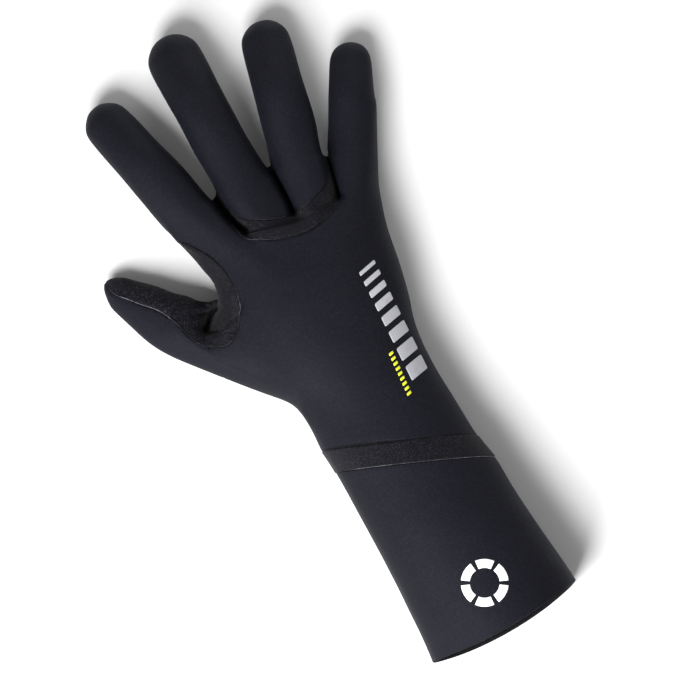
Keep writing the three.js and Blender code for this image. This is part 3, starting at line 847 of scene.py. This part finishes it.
# Sizes in the cloth, in millimetres
PUCKER_LENGTH = 3.6
STITCH_LENGTH = 2.1
STITCH_ROW = 1.5
LOOP_WIDTH = 0.62
LOOP_HEIGHT = 0.5
YARN_WIDTH = 0.4
YARN_LENGTH = 0.8


def seam_marks(n):
    """Puckers square to the seams, a row of stitch dimples beside them, and the distance to the seam."""
    seam = n.attribute("seam")
    gap, run = n.split(seam)
    close = n.spread(gap, 0.0, 6.0, 1.0, 0.0)
    wander = n.times(n.noise(seam, 0.35, 1), 5.0)
    pucker = n.math("SINE", n.plus(n.times(run, 2 * math.pi / PUCKER_LENGTH), wander))
    pucker = n.times(pucker, n.times(close, close))
    row = n.spread(n.math("ABSOLUTE", n.less(gap, STITCH_ROW)), 0.1, 0.5, 1.0, 0.0)
    stitch = n.times(n.spread(n.wave(run, STITCH_LENGTH), 0.1, 0.8), row)
    return pucker, stitch, gap


def neoprene_material():
    n = Nodes("neoprene")
    across, along = n.split(n.attribute("cloth"))
    # jersey: columns of small loops, each a slanted pair of stitches
    phase = n.math("FRACT", n.times(across, 1 / LOOP_WIDTH))
    side = n.less(phase, 0.5)
    slant = n.plus(n.times(along, 1 / LOOP_HEIGHT), n.times(n.math("ABSOLUTE", side), 1.4))
    rib = n.math("COSINE", n.times(side, 2 * math.pi))
    knit = n.plus(n.times(n.wave(slant, 1), 0.45), n.times(rib, 0.55))
    pucker, stitch, gap = seam_marks(n)
    fuzz = n.noise(n.place, 2600, 3, 0.65)
    worn = n.noise(n.place, 26, 5, 0.62)
    broad = n.noise(n.place, 9, 2, 0.5)
    grain = n.noise(n.place, 950, 2, 0.6)
    colour = n.mix(n.spread(broad, 0.35, 0.68), srgb(10, 10, 15), srgb(14, 14, 20))
    for share, other in (
        (n.spread(worn, 0.45, 0.75, 0, 0.55), srgb(20, 20, 28)),
        (n.spread(knit, -1, 1, 0, 0.25), srgb(5, 5, 8)),
        (n.spread(fuzz, 0.52, 0.8, 0, 0.3), srgb(34, 35, 44)),
        (n.spread(grain, 0.35, 0.5, 0.3, 0), srgb(3, 3, 5)),
        (n.spread(grain, 0.5, 0.68, 0, 0.16), srgb(38, 38, 47)),
        (n.spread(gap, 0.2, 1.2, 0.4, 0), srgb(5, 5, 8)),
        (n.times(stitch, 0.5), srgb(4, 4, 6)),
    ):
        colour = n.mix(share, colour, other)
    soft = n.bump(n.noise(n.place, 55, 4, 0.6), 0.0009, 0.45)
    puckered = n.bump(n.less(n.times(pucker, 0.4), stitch), 0.00012, 1.0, soft)
    woven = n.plus(n.times(knit, 0.5), n.times(fuzz, 0.7))
    return n.shade({
        "Base Color": colour,
        "Roughness": n.spread(worn, 0.3, 0.8, 0.6, 0.74),
        "Specular IOR Level": 0.15,
        "Specular Tint": (0.79, 0.83, 1, 1),
        "Sheen Weight": 0.02,
        "Sheen Roughness": 0.42,
        "Sheen Tint": srgb(140, 160, 200),
        "Normal": n.bump(woven, 0.00009, 0.5, puckered),
    })


def knit_material():
    n = Nodes("knit")
    cloth = n.attribute("cloth")
    across, along = n.split(cloth)
    # short floats of yarn in staggered columns
    column = n.times(across, 1 / YARN_WIDTH)
    step = n.math("FLOOR", column)
    offset = n.times(n.math("SINE", n.times(step, 12.9898)), 43.0)
    length = n.plus(n.times(along, 1 / YARN_LENGTH), offset)
    yarn = n.add("ShaderNodeCombineXYZ", {"X": step, "Y": n.math("FLOOR", length)}).outputs[0]
    picked = n.add("ShaderNodeTexWhiteNoise", {"Vector": yarn}, noise_dimensions="3D").outputs["Value"]
    round_yarn = n.wave(n.math("FRACT", column), 2)
    short_yarn = n.wave(n.math("FRACT", length), 2)
    bead = n.times(round_yarn, n.math("POWER", short_yarn, 0.6))
    pucker, stitch, gap = seam_marks(n)
    wool = n.noise(n.place, 1500, 3, 0.65)
    mottle = n.noise(cloth, 1.7, 1.5, 0.6)
    pick = n.plus(n.plus(n.times(picked, 0.22), n.times(wool, 0.2)), mottle)
    pick = n.times(pick, n.spread(bead, 0.0, 0.6, 0.85, 1.0))
    colour = n.ramp(
        n.spread(pick, 0.44, 0.96),
        (0.0, srgb(2, 2, 3)),
        (0.4, srgb(8, 7, 10)),
        (0.65, srgb(24, 23, 28)),
        (1.0, srgb(50, 48, 57)),
    )
    puckered = n.bump(n.less(n.times(pucker, 0.6), stitch), 0.00012, 1.0)
    height = n.plus(n.times(bead, 0.8), n.times(wool, 0.9))
    return n.shade({
        "Base Color": n.mix(n.spread(gap, 0.2, 1.0, 0.3, 0), colour, srgb(6, 6, 8)),
        "Roughness": 0.62,
        "Specular IOR Level": 0.11,
        "Specular Tint": (0.82, 0.81, 1, 1),
        "Sheen Weight": 0.05,
        "Sheen Roughness": 0.4,
        "Normal": n.bump(height, 0.0002, 0.8, puckered),
    })


def lining_material():
    n = Nodes("lining")
    pile = n.noise(n.place, 900, 4, 0.7)
    return n.shade({
        "Base Color": n.mix(n.spread(pile, 0.35, 0.7), srgb(6, 6, 8), srgb(24, 23, 27)),
        "Roughness": 0.95,
        "Specular IOR Level": 0.1,
        "Sheen Weight": 0.08,
        "Normal": n.bump(n.plus(pile, n.cells(520.0)), 0.0006, 0.8),
    })


def foam_material():
    n = Nodes("foam")
    tone = n.noise(n.place, 300, 3, 0.6)
    return n.shade({
        "Base Color": n.mix(n.spread(tone, 0.3, 0.7), srgb(14, 14, 17), srgb(26, 26, 30)),
        "Roughness": 0.9,
        "Specular IOR Level": 0.1,
        "Normal": n.bump(n.cells(2400.0), 0.0002, 0.9),
    })


def glue_and_shade_material():
    n = Nodes("seam_glue")
    strength = n.split(n.attribute("strength"))[0]
    broken = n.noise(n.place, 700, 3, 0.7)
    # The bead's colour runs from the glue's own light grey at full strength to a painted shade at low
    # strength, as for a bead hidden in the groove.
    glue_tone_and_shade = n.times(n.spread(broken, 0.36, 0.6, 0.15, 1), n.math("POWER", strength, 2.4))
    return n.shade({
        "Base Color": n.mix(glue_tone_and_shade, srgb(14, 14, 17), srgb(128, 128, 136)),
        "Roughness": n.spread(broken, 0.3, 0.7, 0.55, 0.32),
        "Specular IOR Level": 0.2,
        "Normal": n.bump(broken, 0.0001, 0.7),
    })


def print_material(name, colour, worn_colour):
    n = Nodes(name)
    grain = n.noise(n.place, 1500, 3, 0.6)
    wear = n.noise(n.place, 160, 4, 0.7)
    return n.shade({
        "Base Color": n.mix(n.spread(wear, 0.55, 0.8, 0, 0.6), colour, worn_colour),
        "Roughness": n.spread(grain, 0.3, 0.7, 0.42, 0.6),
        "Normal": n.bump(grain, 0.00006, 0.7),
    })


NEOPRENE = neoprene_material()
KNIT = knit_material()
LINING = lining_material()
FOAM = foam_material()
GLUE_AND_SHADE = glue_and_shade_material()
GREY = print_material("print_grey", srgb(168, 168, 174), srgb(120, 120, 126))
YELLOW = print_material("print_yellow", srgb(222, 228, 40), srgb(170, 176, 40))
WHITE = print_material("print_white", srgb(240, 240, 240), srgb(196, 196, 198))


def make_piece(name, positions, faces, material, nodes=(), layers=()):
    """A piece in the model's frame; no point of it lies below the floor."""
    placed = to_frame(np.column_stack([positions[:, :2], np.maximum(positions[:, 2], 0)]))
    mesh = bpy.data.meshes.new(name)
    mesh.from_pydata(placed.tolist(), [], [list(face) for face in faces])
    mesh.polygons.foreach_set("use_smooth", [True] * len(mesh.polygons))
    mesh.materials.append(material)
    for key, domain, rows in layers:
        layer = mesh.attributes.new(key, "FLOAT_VECTOR", domain)
        layer.data.foreach_set("vector", rows.ravel())
    mesh.update()
    piece = new_object(name, mesh)
    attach(piece, "root")
    if nodes:
        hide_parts(*nodes)


# The edge of a panel rolls down into the seam: millimetres back from the seam, and depth
ROLL = [(0.72, 0.02), (0.45, 0.08), (0.24, 0.26), (0.1, 0.6), (0.06, 1.3)]


def cloth_scale(local, flat):
    """Millimetres per unit of the flat layout."""
    e, f = skin[local[:, 2]] - skin[local[:, 0]], skin[local[:, 3]] - skin[local[:, 1]]
    area = np.linalg.norm(np.cross(e, f), axis=1).sum()
    g, h = flat[:, 2] - flat[:, 0], flat[:, 3] - flat[:, 1]
    return math.sqrt(area / np.abs(g[:, 0] * h[:, 1] - g[:, 1] * h[:, 0]).sum())


def ways_in(local, edges):
    """From each border point straight into the panel, within the skin."""
    total = len(skin)
    centre = skin[local].mean(axis=1)
    inset = sum(scatter(centre - skin[local[:, i]], local[:, i], total) for i in range(4))
    ahead = np.zeros((total, 3))
    for end in (0, 1):
        np.add.at(ahead, edges[:, end], skin[edges[:, 1]] - skin[edges[:, 0]])
    for direction in (unit(ahead), normals):
        inset -= direction * (inset * direction).sum(axis=1, keepdims=True)
    return unit(inset)


def panel_piece(panel, material):
    chosen = skin_panels == PANELS.index(panel)
    local = skin_quads[chosen]
    flat = cloth[chosen]
    positions = skin + normals * PROUD.get(panel, 0)
    edges = border_edges(local)
    seam_edges = np.array([(a, b) for a, b in edges.tolist() if (b, a) in EDGE_PANELS])
    seam_points = np.unique(seam_edges)
    inset = ways_in(local, edges)

    def rolled(back, depth):
        return positions[seam_points] + inset[seam_points] * back - normals[seam_points] * depth

    def numbered(ids, start):
        index = np.full(len(skin), -1)
        index[ids] = start + np.arange(len(ids))
        return index

    moved = positions.copy()
    moved[seam_points] = rolled(*ROLL[0])
    used = np.unique(local)
    before = numbered(used, 0)
    out_points = [moved[used]]
    out_faces = [before[local]]
    seams = [seam_values[used]]
    # the cloth coordinates at both ends of each border edge
    all_cloth = np.concatenate([flat[:, [i, (i + 1) % 4]] for i in range(4)])
    lookup = {(a, b): k for k, (a, b) in enumerate(directed_edges(local).tolist())}
    picked = all_cloth[[lookup[(a, b)] for a, b in seam_edges.tolist()]]
    cloth_rows = [flat] + [picked[:, [1, 0, 0, 1]]] * (len(ROLL) - 1)
    a, b = seam_edges.T
    for k, (back, depth) in enumerate(ROLL[1:]):
        after = numbered(seam_points, len(used) + k * len(seam_points))
        out_points.append(rolled(back, depth))
        out_faces.append(np.stack([before[b], before[a], after[a], after[b]], axis=1))
        seams.append(seam_values[seam_points])
        before = after
    corners = np.concatenate(cloth_rows).reshape(-1, 2) * cloth_scale(local, flat)
    corners = np.column_stack([corners, np.zeros(len(corners))])
    layers = [("cloth", "CORNER", corners), ("seam", "POINT", np.concatenate(seams))]
    placed = np.concatenate(out_points)
    all_faces = np.concatenate(out_faces).tolist()
    make_piece(f"{panel}_cloth", placed, all_faces, material, [panel], layers)


for panel in PANELS:
    textured = panel in TEXTURED
    panel_piece(panel, KNIT if textured else NEOPRENE)


# Lining and mouth
INSIDE_ROUNDS = 5
LEAST_WALL = 0.9
LEAST_COVER = 1.5
AROUND = [(0, 0), (1.6, 0), (-1.6, 0), (0, 1.6), (0, -1.6)]
LINING_CREASES = {"deeper": 2, "wider": 3.5, "closing": 0}
INWARD_ROUNDS = 4
INWARD_SHARE = 0.25


def kept_inside(positions):
    """The points moved in from the outer skin wherever they come too near to it."""
    tree = skin_tree()
    out = positions.copy()
    for i, (x, y, z) in enumerate(out.tolist()):
        hits = [tree.ray_cast((x + dx, y + dy, ABOVE), (0, 0, -1))[0] for dx, dy in AROUND]
        lowest = min((hit.z for hit in hits if hit), default=z + LEAST_COVER)
        out[i, 2] = min(z, max(lowest - LEAST_COVER, LEAST_COVER))
    for inside_round in range(INSIDE_ROUNDS):
        for i, point in enumerate(out.tolist()):
            place, normal = tree.find_nearest(point)[:2]
            depth = (place - Vector(point)).dot(normal)
            if depth < LEAST_WALL:
                out[i] -= np.array(normal) * (LEAST_WALL - depth)
    return out


def lining_piece():
    """The plush inner face, one wall in from the outer skin."""
    plain, inner_quads = subdivided(LINING_LEVEL)[:2]
    near = tree_of(plain_skin)
    outer = smooth_skin[[near.find(point)[1] for point in plain.tolist()]]
    inward = outward(outer, inner_quads)
    edges = directed_edges(inner_quads)
    for inward_round in range(INWARD_ROUNDS):
        inward = unit(inward + INWARD_SHARE * scatter(inward[edges[:, 1]], edges[:, 0], len(outer)))
    inner = creased(outer - inward * WALL, **LINING_CREASES)
    inner = kept_inside(settled(inner, WALL))
    make_piece("plush_lining", inner, inner_quads[:, ::-1].tolist(), LINING)


def grid_faces(rows, columns, closed):
    """Faces between rows of points, row after row; closed rows also join their last point to their first."""
    faces = []
    for i in range(rows - 1):
        for j in range(columns if closed else columns - 1):
            k = (j + 1) % columns
            faces.append((i * columns + j, i * columns + k, (i + 1) * columns + k, (i + 1) * columns + j))
    return faces


# The cut edge at the mouth: depth into the wall and reach past the rim, in millimetres
MOUTH_EDGE = [
    (0, 0), (0.05, 0.12), (0.25, 0.24), (1.5, 0.3), (2.75, 0.24), (2.95, 0.12), (3, 0), (3.3, -0.8),
]


def mouth_edge():
    after = dict(border_edges(skin_quads).tolist())
    rim = [next(iter(after))]
    while after[rim[-1]] != rim[0]:
        rim.append(after[rim[-1]])
    path = skin[rim]
    inward = normals[rim]
    tangent = unit(np.roll(path, -1, axis=0) - np.roll(path, 1, axis=0))
    past = unit(np.cross(tangent, inward))
    past *= -np.sign(past[:, 1].mean())
    rows = [path - inward * depth + past * reach for depth, reach in MOUTH_EDGE]
    faces = grid_faces(len(MOUTH_EDGE), len(rim), closed=True)
    make_piece("mouth_edge", np.concatenate(rows), faces, FOAM)


lining_piece()
mouth_edge()

# How plainly the glue shows at places along the textured strips, in the bead's size and in its colour, where
# a low strength paints the bead darker as shade in the groove: x, y and strength
GLUE_AND_SHADE_MARKS = np.array([
    (-89.9, 245.8, 0.9), (-85.6, 240.4, 0.95), (-80.6, 233.8, 1), (-75.2, 227.7, 1), (-71.6, 221.2, 0.9),
    (-69.2, 217, 0.75), (-68.2, 210.5, 0.15), (-64.3, 199.9, 0.4), (-58.6, 194.3, 0.4),
    (-51.2, 191.8, 0.5), (-44.1, 194.8, 0.1), (-39.9, 200, 0.65), (-36.4, 208.2, 0.85),
    (-35.8, 215.5, 0.4), (-34.5, 223, 0.1), (-38.6, 239.9, 0.05), (-46, 250.6, 0),
    (-20.2, 240.8, 1), (-16.4, 234, 0.8), (-11.7, 230.7, 0.6), (-7, 228, 0.45), (-1, 225, 0.3),
    (5, 223, 0.2), (11.6, 221.8, 0.12), (18, 222, 0.15), (25.6, 223.8, 0.5), (30, 226, 0.4),
    (34, 228, 0.25), (39, 240, 0), (41, 250, 0),
    (-17, 250, 0.1), (-13, 244.5, 0.1), (-9, 241, 0.2), (-4.7, 238.5, 0.35), (0.8, 235.8, 0.5),
    (9.4, 232.8, 0.5), (14, 232, 0.35), (20, 231.2, 0.2), (31, 234, 0.15), (38, 251, 0),
    (-36.5, 106.5, 0), (-32, 103.5, 0.1), (-28.5, 101.5, 1), (-17.4, 95.5, 0.9), (-3, 89.6, 0.7),
    (11.3, 83.6, 0.65), (23.7, 79.5, 0.8), (33.3, 75.9, 1), (-36, 118, 0), (-17, 109, 0),
    (-3, 101.7, 0.05), (5, 98.5, 0.15), (19.1, 92.1, 0.5), (30.1, 87.5, 0.6),
])
MARK_REACH = 5
PALM_GLUE_AND_SHADE = 0.4
PALM_TOP = 8
PALM_FADE = 8
BEAD_STEP = 0.6
BEAD_SIDES = 6
BEAD_LIFT = 0.1
BEAD_RADIUS = (0.12, 0.05)
BEAD_DEPTH = (0.4, 0.2)
BEAD_RIPPLE = (0.6, 1.7)


# The strength along a path sets the bead's size and its painted shade; the palm side has one strength.
def glue_show_and_shade(path):
    gaps = np.linalg.norm(path[:, None, :2] - GLUE_AND_SHADE_MARKS[None, :, :2], axis=2)
    weights = 1 / (1 + (gaps / MARK_REACH) ** 4)
    on_back = (weights @ GLUE_AND_SHADE_MARKS[:, 2]) / weights.sum(axis=1)
    share = np.clip((path[:, 2] - PALM_TOP) / PALM_FADE, 0, 1)
    return PALM_GLUE_AND_SHADE + (on_back - PALM_GLUE_AND_SHADE) * share


def bead_parts(run):
    """One bead of glue along a seam: its points, faces and strength, which sets its size and its painted
    shade.
    """
    closed = run[0] == run[-1]
    place = along(skin[run])
    even = np.linspace(0, place[-1], max(3, int(place[-1] / BEAD_STEP)))
    line = at_places(even, place, skin[run] + normals[run] * BEAD_LIFT)
    up = unit(at_places(even, place, normals[run]))
    if closed:
        line, up = line[:-1], up[:-1]
        tangent = unit(np.roll(line, -1, axis=0) - np.roll(line, 1, axis=0))
    else:
        tangent = unit(np.gradient(line, axis=0))
    side = np.cross(tangent, up)
    strength = glue_show_and_shade(line)
    swell, swell_length = BEAD_RIPPLE
    ripple = np.array([noise.noise(Vector(point) / swell_length) for point in line.tolist()])
    radius = (BEAD_RADIUS[0] + BEAD_RADIUS[1] * strength) * (1 + swell * ripple)
    centre = line - up * (BEAD_DEPTH[0] - BEAD_DEPTH[1] * strength)[:, None]
    turns = [2 * math.pi * i / BEAD_SIDES for i in range(BEAD_SIDES)]
    rows = [centre + (math.cos(turn) * side + math.sin(turn) * up) * radius[:, None] for turn in turns]
    out = np.stack(rows, axis=1).reshape(-1, 3)
    faces = []
    for i in range(len(line) if closed else len(line) - 1):
        for j in range(BEAD_SIDES):
            k = (j + 1) % BEAD_SIDES
            a, b = i * BEAD_SIDES, (i + 1) % len(line) * BEAD_SIDES
            faces.append((a + j, b + j, b + k, a + k))
    if not closed:
        faces.append(tuple(range(BEAD_SIDES)))
        faces.append(tuple(reversed(range(len(out) - BEAD_SIDES, len(out)))))
    return out, faces, np.repeat(strength, BEAD_SIDES)


def joined(parts):
    """The points and faces of several parts as those of one mesh."""
    faces = []
    base = 0
    for positions, part_faces in parts:
        faces += [tuple(base + i for i in face) for face in part_faces]
        base += len(positions)
    return np.concatenate([positions for positions, part_faces in parts]), faces


def glue_piece(panel):
    beads = [bead_parts(run) for run, pair in SEAM_RUNS if panel in pair]
    positions, faces = joined([bead[:2] for bead in beads])
    bead_show_and_shade = np.tile(np.concatenate([bead[2] for bead in beads])[:, None], 3)
    layers = [("strength", "POINT", bead_show_and_shade)]
    make_piece(f"{panel}_glue", positions, faces, GLUE_AND_SHADE, layers=layers)


for panel in TEXTURED:
    glue_piece(panel)

# Prints: plain generic shapes, each a thin film laid on the cloth from above
PRINT_PROUD = 0.1
PRINT_SUNK = 0.06
PRINT_STEP = 0.5
PRINT_EDGE = 0.05
PRINT_CORNER = 0.7
GREY_ROW = {"middle": (27.6, 160.3), "turn": 3.8, "half": 5, "lean": 0.3, "gap": 3.2}
GREY_WIDTHS = (8, 7.1, 6.2, 5.3, 4.4, 3.5, 2.8, 2.1)
YELLOW_ROW = {"middle": (17.1, 134.6), "turn": 5.7, "half": 1.3, "lean": 0.3, "gap": 1.3}
YELLOW_WIDTHS = (1.5,) * 9
RING = {"middle": (1, 19.6), "outer": 12.2, "inner": 7.6, "parts": 6, "gap": 12}


def print_grid(half_v, half_u):
    """A grid of places, with a narrow step along its sides for the film's edge."""
    steps = []
    for half in (half_v, half_u):
        flat = np.linspace(PRINT_EDGE - half, half - PRINT_EDGE, max(2, int(2 * half / PRINT_STEP)))
        steps.append(np.concatenate([[-half], flat, [half]]))
    return np.meshgrid(*steps, indexing="ij")


def row_patches(row, widths):
    """Slanted bars in a row along the hand."""
    cosine, sine = direction(row["turn"])
    ahead = np.array([sine, cosine])
    aside = np.array([cosine, -sine])
    place = -(sum(widths) + row["gap"] * (len(widths) - 1)) / 2
    patches = []
    for width in widths:
        v, u = print_grid(width / 2, row["half"])
        corner = min(PRINT_CORNER, width / 5)
        out_u = np.clip(np.abs(u) - (row["half"] - corner), 0, None)
        out_v = np.clip(np.abs(v) - (width / 2 - corner), 0, None)
        shrink = np.maximum(out_u, out_v) / np.maximum(np.hypot(out_u, out_v), 1e-9)
        shrink = np.where((out_u > 0) & (out_v > 0), shrink, 1)
        u = np.sign(u) * (np.abs(u) - out_u * (1 - shrink))
        v = np.sign(v) * (np.abs(v) - out_v * (1 - shrink))
        v = v + place + width / 2 + row["lean"] * u
        patches.append(np.array(row["middle"]) + u[..., None] * aside + v[..., None] * ahead)
        place += width + row["gap"]
    return patches


def ring_patches():
    """A ring of equal arcs."""
    middle = (RING["outer"] + RING["inner"]) / 2
    half = (RING["outer"] - RING["inner"]) / 2
    sweep = math.radians(360 / RING["parts"] - RING["gap"]) / 2
    v, u = print_grid(sweep * middle, half)
    patches = []
    for i in range(RING["parts"]):
        angle = 2 * math.pi * i / RING["parts"] + v / middle
        patch = (middle + u)[..., None] * np.stack([np.cos(angle), np.sin(angle)], axis=2)
        patches.append(np.array(RING["middle"]) + patch)
    return patches


def film(name, patches, material):
    tree = skin_tree()
    parts = []
    for patch in patches:
        rows, columns = patch.shape[:2]
        proud = np.full((rows, columns), -PRINT_SUNK)
        proud[1:-1, 1:-1] = PRINT_PROUD
        part = []
        for (x, y), lift in zip(patch.reshape(-1, 2).tolist(), proud.ravel().tolist()):
            place, normal = tree.ray_cast((x, y, ABOVE), (0, 0, -1))[:2]
            part.append((*place[:2], place.z + lift / normal.z))
        parts.append((np.array(part), grid_faces(rows, columns, closed=False)))
    positions, faces = joined(parts)
    first = positions[list(faces[len(faces) // 2])]
    if np.cross(first[1] - first[0], first[2] - first[1])[2] < 0:
        faces = [face[::-1] for face in faces]
    make_piece(name, positions, faces, material)


film("bars_print", row_patches(GREY_ROW, GREY_WIDTHS), GREY)
film("dashes_print", row_patches(YELLOW_ROW, YELLOW_WIDTHS), YELLOW)
film("ring_print", ring_patches(), WHITE)

# Floor, light and camera
FLOOR = 6
PAPER = 0.74
SKY = 0.3
PIXELS_PER_MM = 1.95
PICTURE = 700
DISTANCE = 5.0
TILT = math.radians(4.5)
PICTURE_TURN = math.radians(30)
LOOKED_AT = (0.84, 159.4, 20)
SENSOR = 36
AIM = Vector((0, 0, 0.02))

stage_mesh = bpy.data.meshes.new("floor")
corners = [(-FLOOR, -FLOOR, 0), (FLOOR, -FLOOR, 0), (FLOOR, FLOOR, 0), (-FLOOR, FLOOR, 0)]
stage_mesh.from_pydata(corners, [], [(0, 1, 2, 3)])
floor = new_object("floor", stage_mesh)
stage_mesh.materials.append(Nodes("paper").shade({"Base Color": (PAPER, PAPER, PAPER, 1), "Roughness": 0.9}))

scene = bpy.context.scene
world = bpy.data.worlds.new("studio")
scene.world = world
world.use_nodes = True
sky = world.node_tree.nodes["Background"].inputs
sky["Color"].default_value = (1, 1, 1, 1)
sky["Strength"].default_value = SKY
scene.view_settings.view_transform = "Standard"


def softbox(name, place, size, energy):
    light = bpy.data.lights.new(name, "AREA")
    light.energy = energy
    light.size = size
    lamp = new_object(name, light)
    lamp.location = place
    lamp.rotation_euler = (AIM - Vector(place)).to_track_quat("-Z", "Y").to_euler()


softbox("key", (-0.52, -0.36, 0.66), 0.6, 20.5)
softbox("rim", (0.7, 0.9, 0.3), 0.6, 6)

camera = bpy.data.cameras.new("camera")
camera.sensor_width = SENSOR
camera.lens = SENSOR * DISTANCE / (PICTURE / PIXELS_PER_MM * MM)
scene.camera = new_object("camera", camera)
forward = Vector((0, math.sin(TILT), -math.cos(TILT)))
level_right = Vector((1, 0, 0))
level_up = level_right.cross(forward)
up = math.cos(PICTURE_TURN) * level_up + math.sin(PICTURE_TURN) * level_right
right = forward.cross(up)
turned = Matrix((right, up, -forward)).transposed().to_4x4()
place = Vector(to_frame(LOOKED_AT).tolist()) - DISTANCE * forward
scene.camera.matrix_world = Matrix.Translation(place) @ turned
